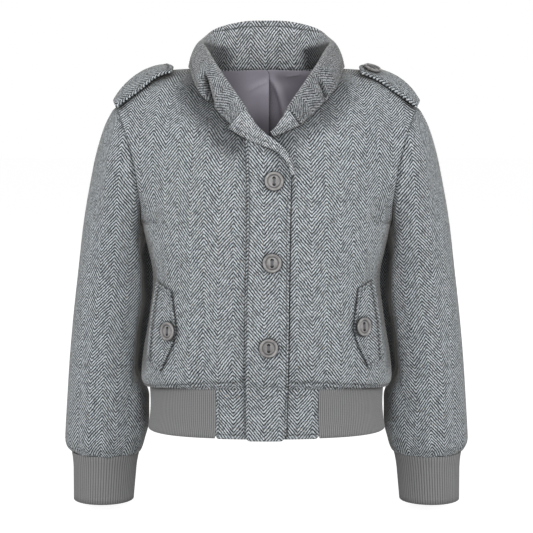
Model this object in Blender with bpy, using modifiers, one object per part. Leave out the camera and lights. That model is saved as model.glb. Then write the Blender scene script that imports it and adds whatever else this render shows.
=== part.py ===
"""Herringbone blouson jacket, filled out with no wearer, built from its cut and sewn pieces.

Metres, +Z up, front towards -Y, +X on the wearer's left. The origin lies between the
shoulders at the height where the collar meets them. Right and left are the wearer's.
"""

import math

import bmesh
import bpy
import numpy as np
from mathutils import Matrix, Vector

MM = 0.001

# Wall thicknesses and clearances
CLOTH = 2.0 * MM
COLLAR_WALL = 3.0 * MM
PLACKET_WALL = 2.5 * MM
FLAP_WALL = 2.6 * MM
STRAP_WALL = 3.0 * MM
LINING_WALL = 1.0 * MM
RIB_WALL = 3.0 * MM
RIB_VALLEY = 0.68
SEAM_GAP = 0.3 * MM
LAY_GAP = 0.4 * MM
FLAP_GAP = 1.1 * MM

# Knitted ribs
RIB_PITCH = 3.7 * MM

# Grid sizes
ARM_ROWS = 10
FRONT_COLUMNS = 9
BACK_COLUMNS = 16
SLEEVE_SIDES = 2 * ARM_ROWS

# Body sections from the hem up, in millimetres
BODY_COLUMNS = ("z_front", "z_side", "z_back", "half_width", "front", "back", "side_y")
BODY_SECTIONS = {
    "rib_bottom": (-496, -501, -502, 166.5, -121.5, 100, -10),
    "rib_middle": (-465, -472, -473, 163.0, -121.0, 99, -10),
    "hem_seam": (-431, -442, -441, 163.0, -123.0, 102, -11),
    "lip": (-426, -444, -440, 171.5, -125.0, 110, -12),
    "blouse": (-414, -431, -428, 175.2, -128.0, 114, -12),
    "low": (-385, -390, -388, 171.7, -130.5, 112, -12),
    "pocket": (-345, -345, -345, 164.0, -131.0, 107, -12),
    "waist": (-290, -290, -290, 157.8, -129.5, 101, -12),
    "middle": (-245, -245, -245, 165.5, -129.0, 105, -9),
    "underarm": (-207, -214, -210, 173.5, -127.5, 110, 2),
}
HEM_LEVEL = 2
# The gap below the hem seam as a share of a body level
RIB_TOP_GAP = 0.022
UNDERARM_LEVEL = 9
TOP_LEVEL = UNDERARM_LEVEL + ARM_ROWS
ROUNDNESS = 0.60

# Centre lines above the underarm and the neck line, in millimetres
FRONT_CENTRE = ((0, -125.5, -178), (0, -122, -149), (0, -117.5, -120))
BACK_CENTRE = (
    (0, 113.5, -180), (0, 115.5, -150), (0, 115, -120),
    (0, 111.5, -90), (0, 105, -60), (0, 96, -32),
)
# How far the back rows that start on the neck line dip as they leave it
BACK_DIPS = {7: 0.2, 8: 0.32, 9: 0.16}
NECK_COLUMNS = ("x", "y", "z", "face_deg")
NECK_LINE = {
    "centre_back": (0, 83, -4, 180),
    "back": (38, 79, -4, 165),
    "side_back": (76, 58, -3, 128),
    "neck_side": (101, 10, -1, 88),
    "side_front": (95, -22, -6, 67),
    "front_high": (75, -57, -20, 54),
    "front_middle": (53, -82, -44, 44),
    "gorge": (34, -97, -67, 34),
    "lapel_top": (16, -106, -83, 24),
    "v_bottom": (0, -111.5, -93, 15),
    "cross": (-12, -115, -101, 9),
    "lapel_low": (-22, -118, -111, 5),
    "lapel_end": (-30, -121, -124, 3),
    "break": (-33.5, -124, -140, 2),
}
GORGE = 7

# Armhole loop, in millimetres
ARM_TOP = (207, -50)
ARM_BOTTOM = (173.5, -215)
ARM_MIDDLE_Y = 4
ARM_HALF_DEPTH = 60
ARM_BOW = -10.5

# Sleeve rings from the armhole down, in millimetres
SLEEVE_COLUMNS = ("outer_x", "outer_z", "inner_x", "inner_z", "middle_y", "half_depth", "bow")
SLEEVE_RINGS = {
    "armhole": (207, -50, 173.5, -215, 4, 60, -10.5),
    "cap": (215, -61, 174.5, -219, 6, 61, -8),
    "head": (226, -82, 172.6, -226, 12, 62, -4),
    "upper": (237, -115, 168.7, -238, 20, 62, 0),
    "biceps": (247.5, -158, 162.7, -256, 28, 61, 0),
    "above_elbow": (258, -214, 158.5, -282, 35, 60, 0),
    "elbow": (267, -281, 157, -318, 42, 59, 0),
    "below_elbow": (275.5, -350, 163, -370, 45, 58, 0),
    "forearm": (281.5, -411, 169.5, -424, 45, 57, 0),
    "low": (285, -464, 172, -471, 40, 56, 0),
    "blouse": (288, -512, 172, -514, 38, 54.5, 0),
    "lip": (288, -535, 175, -536, 36, 52, 0),
    "tuck": (284.5, -546, 179, -547, 35, 48, 0),
    "seam": (277.5, -552, 184.5, -553, 34, 43.5, 0),
}
SLEEVE_STEPS = (0, 0.5, 1, 2, 3, 4, 5, 6, 7, 8, 9, 10, 11, 12, 13)

# Cuff rings, in millimetres
CUFF_COLUMNS = ("z", "middle_x", "half_width", "half_depth")
CUFF_RINGS = {
    "seam": (-553.4, 230.8, 46.2, 43.4),
    "bottom": (-616, 234.2, 43.0, 41.5),
}
CUFF_MIDDLE_Y = 34

# Collar and lapel sections: rise along the neck wall and outward reach, in millimetres
ROLL_COLUMNS = ("rise_1", "out_1", "rise_2", "out_2", "edge_rise", "edge_out")
COLLAR_SECTIONS = {
    "centre_back": (23, 1, 46, 1.5, 68, 2),
    "back": (24, 0, 48, 1, 66, 4),
    "side_back": (30, -10, 62, -5, 52, 6),
    "neck_side": (46, -32, 54, -3, 7, 5),
    "side_front": (38, -38, 50, 8, 4, 11),
    "front_high": (32, -24, 48, 26, -6, 22),
    "front_middle": (26, -14, 42, 26, -9, 20),
    "gorge": (21, -8, 34, 20, -9, 15),
}
RIGHT_LAPEL = {
    "gorge": (21, -8, 36, 22, -15, 17),
    "lapel_top": (14, -3, 22, 16, -11, 9),
    "v_bottom": (9, -1, 13, 12, -9, 6),
    "cross": (7, -1, 11, 11, -5.5, 7),
    "lapel_low": (6.5, -1, 10, 10, -3.5, 6.5),
    "lapel_end": (6, -1, 9, 9, -2, 6),
    "break": (5.5, -1, 8, 8, -1, 5.5),
}
LEFT_LAPEL = {
    "gorge": (20, -7, 32, 18, -9, 13),
    "lapel_top": (10, -2, 15, 12, -3, 6),
    "v_bottom": (7, -1, 10, 9, 0, 6),
}
LAPEL_WALL = 1.6 * MM
LEFT_LAPEL_END = 1.45
COLLAR_STEPS = 28
ROLL_STEPS = 8
DENT_STATION = 5.45
DENT_WIDTH = 0.28
DENT_DEPTH = 5.0 * MM

# Placket edges, in millimetres
PLACKET_COLUMNS = ("z", "right_edge", "left_edge")
PLACKET_EDGES = (
    (-499, -28.5, 25), (-396, -29.5, 28), (-306, -28.5, 29),
    (-219, -26, 30), (-145, -26, 31.5), (-60, -28.5, 32),
)
PLACKET_LOW = -498.5
PLACKET_TUCK = 8.0 * MM
PLACKET_SLANT_ROWS = 5
RIGHT_FRONT_EDGE = 22.5
LEFT_FRONT_EDGE = -20.0
TAB_EDGES = ((-68.2, -22.5), (-20.0, 70.0))

# Pocket flap outline, one row for each cross line, in millimetres
FLAP_COLUMNS = ("root_x", "root_z", "free_x", "free_z")
FLAP_ROWS = (
    (148, -291, 128.0, -300),
    (153, -318, 124.8, -326),
    (157.5, -350, 121.5, -353),
    (159.0, -368, 127.5, -374),
    (161.5, -397, 143.0, -409),
)
FLAP_SHIFT = {"right": (0.0, 0.0), "left": (-4.5, 4.0)}

# Epaulettes, in millimetres; their reach is measured from the shoulder seam
STRAP_INNER_X = 130.0
STRAP_FRONT_REACH = 30.0
STRAP_FRONT_SPREAD = 13.5
STRAP_BACK_REACH = 19.0
STRAP_BACK_TAPER = 9.0
STRAP_TIP = 9.0
STRAP_RISE = {"right": 3.0, "left": 4.0}
STRAP_ARCH = {"right": 4.0, "left": 0.0}
STRAP_END_LIFT = 3.5

# Buttons
BUTTON_RADIUS = 12.5 * MM
BUTTON_HEIGHT = 4.2 * MM
BUTTON_SIDES = 16
BUTTON_HOLE_RADIUS = 1.3 * MM
BUTTON_HOLE_SPACING = 8.0 * MM
# Radius and height shares of the turned outline
BUTTON_PROFILE = (
    (0.0, 0.62), (0.70, 0.62), (0.82, 0.95), (0.92, 1.0),
    (1.0, 0.70), (0.96, 0.25), (0.80, 0.0), (0.0, 0.0),
)
FRONT_BUTTONS = ((9.9, -148), (7.3, -256), (2.9, -370))
POCKET_BUTTONS = {"right": (130.2, -354), "left": (128.0, -347.5)}
STRAP_BUTTON_X = 148.0
STRAP_BUTTON_ACROSS = -21.0


def column(table, columns, name):
    """Return one named column of a table as an array in metres."""
    index = columns.index(name)
    rows = table.values() if isinstance(table, dict) else table
    return np.array([row[index] for row in rows], float) * MM


def along(rows, position):
    """Run a smooth curve through the rows of an array; position counts rows."""
    rows = np.asarray(rows, float)
    position = np.asarray(position, float)
    last = len(rows) - 1
    start = np.clip(np.floor(position).astype(int), 0, last - 1)
    part = (position - start).reshape(position.shape + (1,) * (rows.ndim - 1))
    before = rows[np.maximum(start - 1, 0)]
    here = rows[start]
    after = rows[start + 1]
    beyond = rows[np.minimum(start + 2, last)]
    slope_in = (after - before) / 2
    slope_out = (beyond - here) / 2
    step = after - here
    return here + part * (slope_in + part * (3 * step - 2 * slope_in - slope_out
                                             + part * (slope_in + slope_out - 2 * step)))


def bezier(controls, part):
    """Evaluate cubic curves; controls end in (4, 3)."""
    part = np.asarray(part, float)[..., None]
    rest = 1 - part
    return (controls[..., 0, :] * rest ** 3 + controls[..., 1, :] * 3 * rest ** 2 * part
            + controls[..., 2, :] * 3 * rest * part ** 2 + controls[..., 3, :] * part ** 3)


def unit(vectors):
    """Scale vectors to length one."""
    return vectors / np.linalg.norm(vectors, axis=-1, keepdims=True)


def armhole_point(angle, side):
    """A point of the armhole loop; angle 0 is the shoulder tip, pi the underarm."""
    x = (ARM_TOP[0] + ARM_BOTTOM[0]) / 2 + (ARM_TOP[0] - ARM_BOTTOM[0]) / 2 * math.cos(angle)
    z = (ARM_TOP[1] + ARM_BOTTOM[1]) / 2 + (ARM_TOP[1] - ARM_BOTTOM[1]) / 2 * math.cos(angle)
    y = ARM_MIDDLE_Y + side * ARM_HALF_DEPTH * math.sin(angle)
    return np.array((x + ARM_BOW * math.sin(angle) ** 2, y, z)) * MM


def armhole_way(angle, side):
    """The direction in which a body row runs into the armhole."""
    high = (1 + math.cos(angle)) / 2
    across = 0.35 * high + 0.75 * math.sin(angle)
    down = -0.94 * high + 0.25 * math.sin(angle)
    return unit(np.array((across, -side * (1 - high), down)))


def neck_points():
    """Neck line points of the wearer's left half, from centre back to the break."""
    return np.array([row[:3] for row in NECK_LINE.values()], float) * MM


def body_rows(side):
    """Curve controls of every body row of one half; side is -1 in front and 1 behind."""
    face = "front" if side < 0 else "back"
    rows = []
    for z_mid, z_side, half, depth, side_y in zip(
            column(BODY_SECTIONS, BODY_COLUMNS, "z_" + face),
            column(BODY_SECTIONS, BODY_COLUMNS, "z_side"),
            column(BODY_SECTIONS, BODY_COLUMNS, "half_width"),
            column(BODY_SECTIONS, BODY_COLUMNS, face),
            column(BODY_SECTIONS, BODY_COLUMNS, "side_y")):
        start = np.array((0, depth, z_mid))
        end = np.array((half, side_y, z_side))
        first = start + np.array((ROUNDNESS * half, 0, 0))
        second = end + np.array((0, ROUNDNESS * (depth - side_y), 0))
        rows.append((start, first, second, end))
    neck = neck_points()
    if side < 0:
        starts = [np.array(p) * MM for p in FRONT_CENTRE] + [neck[i] for i in range(9, 2, -1)]
    else:
        starts = [np.array(p) * MM for p in BACK_CENTRE] + [neck[i] for i in range(0, 4)]
    for row, start in enumerate(starts, 1):
        angle = math.pi * (1 - row / ARM_ROWS)
        end = armhole_point(angle, side)
        chord = end - start
        reach = np.linalg.norm(chord)
        level_way = np.array((1.0, 0, 0))
        share = row / ARM_ROWS
        start_way = level_way * (1 - 0.1 * share) + unit(chord) * 0.1 * share
        if side > 0:
            start_way[2] -= BACK_DIPS.get(row, 0)
        first = start + unit(start_way) * reach * 0.5
        high = (1 + math.cos(angle)) / 2
        second = end - armhole_way(angle, side) * reach * (0.34 + 0.06 * high)
        rows.append((start, first, second, end))
    return np.array(rows)


BODY = {-1: body_rows(-1), 1: body_rows(1)}
NECK_CORNER = {-1: UNDERARM_LEVEL + len(FRONT_CENTRE) + 1, 1: UNDERARM_LEVEL + len(BACK_CENTRE) + 1}


def body_point(side, across, level):
    """A point of the body; across runs from -1 (right side seam) to 1 (left side seam)."""
    across, level = np.broadcast_arrays(np.asarray(across, float), np.asarray(level, float))
    controls = along(BODY[side], level)
    side_seam = along(BODY[side][:UNDERARM_LEVEL + 1, 2:], np.minimum(level, UNDERARM_LEVEL))
    below = (level < UNDERARM_LEVEL)[..., None, None]
    controls[..., 2:, :] = np.where(below, side_seam, controls[..., 2:, :])
    corner = NECK_CORNER[side]
    starts = BODY[side][:, 0]
    centre_line = along(starts[:corner + 1], np.minimum(level, corner))
    neck_line = along(starts[corner:], np.maximum(level - corner, 0))
    controls[..., 0, :] = np.where((level < corner)[..., None], centre_line, neck_line)
    points = bezier(controls, np.abs(across))
    points[..., 0] *= np.where(across < 0, -1, 1)
    return points


def body_normal(side, across, level):
    """The outward direction of the body at a point."""
    across, level = np.broadcast_arrays(np.asarray(across, float), np.asarray(level, float))
    step = 1e-3
    least = np.where(level > NECK_CORNER[side] + step, 2 * step, 0)
    across = np.maximum(np.abs(across), least) * np.where(across < 0, -1, 1)
    low = level - step
    high = np.minimum(level + step, TOP_LEVEL)
    along_row = body_point(side, across + step, level) - body_point(side, across - step, level)
    up_column = body_point(side, across, high) - body_point(side, across, low)
    return unit(np.cross(along_row, up_column)) * -side


def wall_way(side, across, level):
    """The outward direction of a panel's wall, shared by the panels that meet in the shoulder seam."""
    level = np.asarray(level, float)
    share = np.clip(level - (TOP_LEVEL - 1), 0, 1)[..., None] / 2
    own = body_normal(side, across, level)
    other = body_normal(-side, across, level)
    return unit(own * (1 - share) + other * share)


def front_place(x, z):
    """Find the across and level values of the front at given x and z in metres."""
    x, z = np.broadcast_arrays(np.asarray(x, float), np.asarray(z, float))
    sign = np.where(x < 0, -1.0, 1.0)
    reach = np.abs(x)
    across = np.clip(reach / 0.3, 0.01, 0.95)
    level = np.interp(z, BODY[-1][:, 0, 2], np.arange(TOP_LEVEL + 1))
    step = 1e-4
    for _ in range(25):
        here = body_point(-1, across, level)
        by_across = (body_point(-1, across + step, level) - here) / step
        by_level = (body_point(-1, across, level + step) - here) / step
        miss_x = reach - here[..., 0]
        miss_z = z - here[..., 2]
        spread = by_across[..., 0] * by_level[..., 2] - by_level[..., 0] * by_across[..., 2]
        move_across = (miss_x * by_level[..., 2] - miss_z * by_level[..., 0]) / spread
        move_level = (by_across[..., 0] * miss_z - by_across[..., 2] * miss_x) / spread
        across = np.clip(across + np.clip(move_across, -0.2, 0.2), 0, 0.999)
        level = np.clip(level + np.clip(move_level, -1.5, 1.5), -0.3, TOP_LEVEL - 0.01)
    return across * sign, level


def front_point(x, z, out=0.0):
    """A point of the front at given x and z, moved outward."""
    across, level = front_place(x, z)
    return body_point(-1, across, level) + body_normal(-1, across, level) * np.asarray(out)[..., None]


def across_at(x, level):
    """The across value of the front where its row has the given x, in metres."""
    parts = np.linspace(0, 1, 400)
    result = []
    for one_x, one_level in zip(np.atleast_1d(x), np.atleast_1d(level)):
        row = body_point(-1, parts, one_level)
        found = np.interp(abs(one_x), row[:, 0], parts)
        result.append(found if one_x >= 0 else -found)
    return np.array(result)


def material(name, colour):
    """A plain material in one colour."""
    made = bpy.data.materials.new(name)
    made.use_nodes = True
    shader = made.node_tree.nodes["Principled BSDF"]
    shader.inputs["Base Color"].default_value = (*colour, 1)
    shader.inputs["Roughness"].default_value = 0.9
    made.diffuse_color = (*colour, 1)
    return made


def add_object(name, mesh, colour):
    """Put a mesh into the jacket's collection with a material of its own."""
    made = bpy.data.objects.new(name, mesh)
    mesh.materials.append(material(name, colour))
    bpy.data.collections["jacket"].objects.link(made)
    return made


def placed_grid(columns, rows, place):
    """An open grid whose points are placed by a function of two shares from 0 to 1."""
    grid = bmesh.new()
    bmesh.ops.create_grid(grid, x_segments=columns, y_segments=rows, size=0.5)
    number = grid.verts.layers.int.new("number")
    shares = np.array([(vertex.co.x + 0.5, vertex.co.y + 0.5) for vertex in grid.verts])
    points = place(shares[:, 0], shares[:, 1])
    for index, vertex in enumerate(grid.verts):
        vertex[number] = index
        vertex.co = points[index]
    return grid, number


def cloth(name, columns, rows, place, wall, colour, closed=False, flip=False, ribs=None):
    """A cloth piece: an open surface with a wall on its inner side."""
    grid, number = placed_grid(columns, rows, place)
    if closed:
        bmesh.ops.remove_doubles(grid, verts=grid.verts[:], dist=0.00001)
    if flip:
        bmesh.ops.reverse_faces(grid, faces=grid.faces[:])
    numbers = [vertex[number] for vertex in grid.verts]
    mesh = bpy.data.meshes.new(name)
    grid.to_mesh(mesh)
    grid.free()
    made = add_object(name, mesh, colour)
    thicken = made.modifiers.new("wall", "SOLIDIFY")
    thicken.thickness = wall
    thicken.offset = -1
    thicken.use_even_offset = True
    thicken.use_quality_normals = True
    if ribs is not None:
        thicken.offset = 1
        group = made.vertex_groups.new(name="ribs")
        for index, grid_number in enumerate(numbers):
            group.add([index], ribs(grid_number), "REPLACE")
        thicken.vertex_group = "ribs"


def shell(name, columns, rows, place, colour, mirrored=False):
    """A cloth piece whose wall meets its neighbours; place gives its outer and inner points."""
    inner = []

    def outer_place(column_shares, row_shares):
        outer, inside = place(column_shares, row_shares)
        inner.extend(inside)
        return outer

    grid, number = placed_grid(columns, rows, outer_place)
    bmesh.ops.triangulate(grid, faces=grid.faces[:], quad_method="FIXED")
    grown = bmesh.ops.extrude_face_region(grid, geom=grid.faces[:], use_keep_orig=True)
    for piece in grown["geom"]:
        if isinstance(piece, bmesh.types.BMVert):
            piece.co = inner[piece[number]]
    if mirrored:
        rim = [face for face in grid.faces if all(abs(v.co.x) < 1e-7 for v in face.verts)]
        bmesh.ops.delete(grid, geom=rim, context="FACES")
    bmesh.ops.recalc_face_normals(grid, faces=grid.faces[:])
    mesh = bpy.data.meshes.new(name)
    grid.to_mesh(mesh)
    grid.free()
    made = add_object(name, mesh, colour)
    if mirrored:
        half = made.modifiers.new("other_half", "MIRROR")
        half.merge_threshold = 0.00002


def body_cloth(name, columns, rows, side, where, inset, wall, colour, mirrored=False):
    """A piece of the body's own surface; where gives across and level, the wall goes inward."""
    def place(column_shares, row_shares):
        across, level = where(column_shares, row_shares)
        ways = wall_way(side, across, level)
        if mirrored:
            ways[(across < 0.001) & (level < NECK_CORNER[side] + 0.001), 0] = 0
        outer = body_point(side, across, level) - ways * inset
        return outer, outer - ways * wall

    shell(name, columns, rows, place, colour, mirrored)


def laid_cloth(name, columns, rows, where, wall, colour):
    """A piece laid on the fronts; where gives x, z and the gap below it."""
    def place(column_shares, row_shares):
        x, z, gap = where(column_shares, row_shares)
        return front_point(x, z, gap + wall), front_point(x, z, gap)

    shell(name, columns, rows, place, colour)


TWEED = (0.28, 0.30, 0.31)
KNIT = (0.20, 0.20, 0.20)
SATIN = (0.17, 0.16, 0.19)
HORN = (0.24, 0.23, 0.24)


PANEL_LOW = (2, 2.4, 2.8, 3.3, 4, 4.7, 5.4, 6.1, 6.8, 7.4, 8, 8.5, 9)


def panel_levels(parts):
    """Body levels of a panel's rows, closer together at the blouse lip."""
    levels = np.array(PANEL_LOW + tuple(range(UNDERARM_LEVEL + 1, TOP_LEVEL + 1)), float)
    levels[-1] -= 0.012
    return np.interp(parts, np.linspace(0, 1, len(levels)), levels)


PANEL_ROWS = len(PANEL_LOW) - 1 + ARM_ROWS
SIDE_END = 0.9993
LINING_ROWS = 19


def left_front_place(columns, rows):
    """Left front from its hidden edge under the placket, then the neck line, to the side."""
    level = panel_levels(rows)
    start = across_at(np.full(len(level), LEFT_FRONT_EDGE * MM), np.minimum(level, 12))
    start = start * np.clip((13 - level) / 2.0, 0, 1)
    return start + (SIDE_END - start) * columns, level


def right_front_place(columns, rows):
    """Right front from the side to its edge under the placket, then the neck line."""
    level = panel_levels(rows)
    end = np.maximum(across_at(np.full(len(level), RIGHT_FRONT_EDGE * MM), level), 1e-6)
    return -(SIDE_END + (end - SIDE_END) * columns), level


def back_place(columns, rows):
    """Left half of the back, from the side seam to the centre and the neck line."""
    return SIDE_END * (1 - columns), panel_levels(rows)


def lining_place(columns, rows):
    """Left half of the back lining, on the back's own points short of the side seam and hem."""
    reach = SIDE_END * (BACK_COLUMNS - 2) / BACK_COLUMNS
    first = 1 - LINING_ROWS / PANEL_ROWS
    return reach * (1 - columns), panel_levels(first + (1 - first) * rows)


def ring_turn(turn, level):
    """A point round the whole body; turn 0 is centre front, 2 centre back, left side first."""
    turn = np.asarray(turn, float)
    front = (turn < 1) | (turn >= 3)
    across_front = np.where(turn < 1, turn, turn - 4)
    across_back = 2 - turn
    return np.where(front[..., None], body_point(-1, across_front, level),
                    body_point(1, across_back, level))


def even_turns(start, end, count):
    """Turn values spaced evenly along the hem between two turns."""
    fine = np.linspace(start, end, 4000)
    points = ring_turn(fine, np.full(fine.shape, 1.0))
    length = np.concatenate(((0,), np.cumsum(np.linalg.norm(np.diff(points, axis=0), axis=1))))
    return np.interp(np.linspace(0, length[-1], count + 1), length, fine), length[-1]


def hem_turn(x):
    """The turn value of the front hem at a given x in metres."""
    across = float(across_at([abs(x)], [1.0])[0])
    return across if x > 0 else 4 - across


def add_hem_rib():
    """Knitted hem band from tab round the back to tab, its ribs raised outside."""
    start = hem_turn(TAB_EDGES[1][1] * MM + SEAM_GAP)
    end = hem_turn(TAB_EDGES[0][0] * MM - SEAM_GAP)
    length = even_turns(start, end, 10)[1]
    count = 2 * round(length / RIB_PITCH)
    turns = even_turns(start, end, count)[0]

    def place(columns, rows):
        turn = np.interp(columns, np.linspace(0, 1, count + 1), turns)
        level = rows * (HEM_LEVEL - RIB_TOP_GAP)
        outer = ring_turn(turn, level)
        step = 1e-3
        round_way = ring_turn(turn + step, level) - ring_turn(turn - step, level)
        inward = unit(np.cross(round_way, np.array((0, 0, 1.0)))) * -1
        return outer + inward * RIB_WALL

    def ribs(index):
        return 1.0 if index % (count + 1) % 2 else RIB_VALLEY

    cloth("hem_rib", count, 1, place, RIB_WALL, KNIT, ribs=ribs)


def add_cuff(name, sign):
    """Knitted cuff tube, its ribs raised outside."""
    z = column(CUFF_RINGS, CUFF_COLUMNS, "z")
    middle = column(CUFF_RINGS, CUFF_COLUMNS, "middle_x")
    half = column(CUFF_RINGS, CUFF_COLUMNS, "half_width")
    depth = column(CUFF_RINGS, CUFF_COLUMNS, "half_depth")
    count = 2 * round(math.pi * (half.mean() + depth.mean()) / RIB_PITCH)

    def place(columns, rows):
        angle = 2 * math.pi * columns
        share = 1 - rows
        wide = half[0] + (half[1] - half[0]) * share - RIB_WALL
        deep = depth[0] + (depth[1] - depth[0]) * share - RIB_WALL
        x = middle[0] + (middle[1] - middle[0]) * share + wide * np.sin(angle)
        y = CUFF_MIDDLE_Y * MM - deep * np.cos(angle)
        return np.stack((sign * x, y, z[0] + (z[1] - z[0]) * share), axis=-1)

    def ribs(index):
        return 1.0 if index % 2 else RIB_VALLEY

    cloth(name, count, 1, place, RIB_WALL, KNIT, closed=True, flip=sign < 0, ribs=ribs)


def sleeve_point(turn, ring):
    """A point of the left sleeve; turn 0 is outside, a quarter in front, a half inside."""
    columns = [along(column(SLEEVE_RINGS, SLEEVE_COLUMNS, name), ring) for name in SLEEVE_COLUMNS]
    outer_x, outer_z, inner_x, inner_z, middle_y, half_depth, bow = columns
    angle = 2 * math.pi * np.asarray(turn, float)
    x = (outer_x + inner_x) / 2 + (outer_x - inner_x) / 2 * np.cos(angle) + bow * np.sin(angle) ** 2
    z = (outer_z + inner_z) / 2 + (outer_z - inner_z) / 2 * np.cos(angle)
    y = middle_y - half_depth * np.sin(angle)
    return np.stack((x, y, z), axis=-1)


def add_sleeve(name, sign):
    """Sleeve tube from the armhole to the cuff seam."""
    steps = np.array(SLEEVE_STEPS, float)
    steps[0] = 0.035

    def place(columns, rows):
        ring = np.interp(rows, np.linspace(0, 1, len(steps)), steps)
        points = sleeve_point(columns, ring)
        points[:, 0] *= sign
        return points

    cloth(name, SLEEVE_SIDES, len(steps) - 1, place, CLOTH, TWEED, closed=True, flip=sign < 0)


def roll_frames(points, faces):
    """Rise and outward directions at each station of a neck line."""
    ways = np.gradient(points, axis=0)
    ways[0] = points[1] - points[0]
    ways[-1] = points[-1] - points[-2]
    ways = unit(ways)
    facing = np.stack((np.sin(faces), -np.cos(faces), np.zeros(len(faces))), axis=-1)
    rise = unit(np.cross(ways, facing))
    out = unit(np.cross(rise, ways))
    return rise, out


def roll_controls(sections, first, out_shift):
    """Curve controls of collar or lapel sections on the left half of the neck line."""
    names = list(NECK_LINE)
    points = neck_points()
    faces = np.radians([row[3] for row in NECK_LINE.values()])
    rise, out = roll_frames(points, faces)
    controls = []
    for offset, row in enumerate(sections.values()):
        station = first + offset
        shift = np.interp(station, (GORGE, GORGE + 1), (0, out_shift)) if out_shift else 0.0
        root = points[station] + rise[station] * 1.5 * SEAM_GAP + out[station] * shift
        reach = np.array(row, float).reshape(3, 2) * MM
        places = [root + rise[station] * up + out[station] * away for up, away in reach]
        controls.append([root] + places)
    assert list(sections) == names[first:first + len(sections)]
    return np.array(controls)


def add_collar():
    """Stand collar with both front ends rolled outward."""
    half = roll_controls(COLLAR_SECTIONS, 0, 0.0)
    mirrored = half[:0:-1].copy()
    mirrored[..., 0] *= -1
    rows = np.concatenate((mirrored, half))
    middle = len(half) - 1
    span = 2 * middle

    def place(columns, steps):
        station = 0.012 + (span - 0.024) * columns
        points = bezier(along(rows, station), steps)
        way = bezier(along(rows, np.minimum(station + 0.02, span)), steps) - bezier(
            along(rows, np.maximum(station - 0.02, 0)), steps)
        rise = bezier(along(rows, station), np.minimum(steps + 0.02, 1)) - bezier(
            along(rows, station), np.maximum(steps - 0.02, 0))
        inner = unit(np.cross(way, rise))
        depth = DENT_DEPTH * np.exp(-((station - (middle - DENT_STATION)) / DENT_WIDTH) ** 2)
        depth = depth * np.clip((steps - 0.62) / 0.3, 0, 1)
        return points - inner * depth[..., None]

    cloth("collar", COLLAR_STEPS, ROLL_STEPS, place, COLLAR_WALL, TWEED)


def add_lapel(name, sections, sign, last, out_shift, columns):
    """Turned-out front corner below the collar."""
    rows = roll_controls(sections, GORGE, out_shift)

    def place(parts, steps):
        station = 0.015 + (last - 0.015) * parts
        points = bezier(along(rows, station), steps)
        points[:, 0] *= sign
        return points

    cloth(name, columns, 6, place, LAPEL_WALL, TWEED, flip=sign < 0)


def placket_edge(name, z):
    """A placket edge's x at given heights."""
    order = column(PLACKET_EDGES, PLACKET_COLUMNS, "z")
    return np.interp(z, order, column(PLACKET_EDGES, PLACKET_COLUMNS, name))


def placket_top(x):
    """Height of the placket's slanting top edge under the lapel, at given x."""
    neck = neck_points()[GORGE:]
    tuck = PLACKET_TUCK * np.clip((-x - 0.006) / 0.016, 0, 1)
    return np.interp(-x, neck[::-1, 0], neck[::-1, 2]) - 3 * SEAM_GAP - tuck


def placket_place(columns, rows):
    """Button placket laid on the fronts' own rows, from the hem to the lapel."""
    straight = np.array((-0.08, 0.6, 1.3) + PANEL_LOW + (UNDERARM_LEVEL + 1,), float)
    heights = body_point(-1, 0.0, straight)[:, 2]
    heights[0] = PLACKET_LOW * MM
    position = rows * (len(straight) - 1 + PLACKET_SLANT_ROWS)
    below = np.interp(position, np.arange(len(straight)), heights)
    share = np.clip((position - len(straight) + 1) / PLACKET_SLANT_ROWS, 0, 1)
    z = below
    for _ in range(4):
        right = placket_edge("right_edge", z)
        left = placket_edge("left_edge", z)
        x = right + (left - right) * columns
        z = below + (placket_top(x) - below) * share
    return x, z, LAY_GAP * (1 + 2 * share)


def tab_place(edges, low):
    """Hem tab between two x edges, flush with the rib."""
    start, end = across_at(np.array(edges) * MM, (1.0, 1.0))

    def place(columns, rows):
        level = low + (HEM_LEVEL - RIB_TOP_GAP - low) * rows
        return body_point(-1, start + (end - start) * columns, level)
    return place


def flap_place(sign, shift):
    """Pointed pocket flap laid on a front, moved by a shift in millimetres."""
    rows_at = [column(FLAP_ROWS, FLAP_COLUMNS, name) for name in FLAP_COLUMNS]

    def place(columns, rows):
        position = (1 - rows) * (len(FLAP_ROWS) - 1)
        low = np.interp(position, np.arange(len(FLAP_ROWS)), rows_at[0])
        root_z = np.interp(position, np.arange(len(FLAP_ROWS)), rows_at[1])
        free_x = np.interp(position, np.arange(len(FLAP_ROWS)), rows_at[2])
        free_z = np.interp(position, np.arange(len(FLAP_ROWS)), rows_at[3])
        part = columns if sign < 0 else 1 - columns
        x = low + (free_x - low) * part
        z = root_z + (free_z - root_z) * part
        return sign * (x + shift[0] * MM), z + shift[1] * MM, np.full(x.shape, FLAP_GAP)
    return place


def shoulder_point(x, across):
    """A point on the left shoulder: x along the seam, across towards the back, in metres."""
    parts = np.linspace(0, 1, 300)
    ridge = body_point(-1, parts, TOP_LEVEL)
    result = []
    ways = []
    for one_x, one_across in zip(x, across):
        side = -1 if one_across < 0 else 1
        part = np.interp(one_x, ridge[:, 0], parts)
        levels = np.linspace(TOP_LEVEL, TOP_LEVEL - 3, 60)
        line = body_point(side, np.full(60, part), levels)
        length = np.concatenate(((0,), np.cumsum(np.linalg.norm(np.diff(line, axis=0), axis=1))))
        level = np.interp(abs(one_across), length, levels)
        result.append(body_point(side, part, level))
        ways.append(body_normal(side, part, min(level, TOP_LEVEL - 0.3)))
    return np.array(result), np.array(ways)


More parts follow.
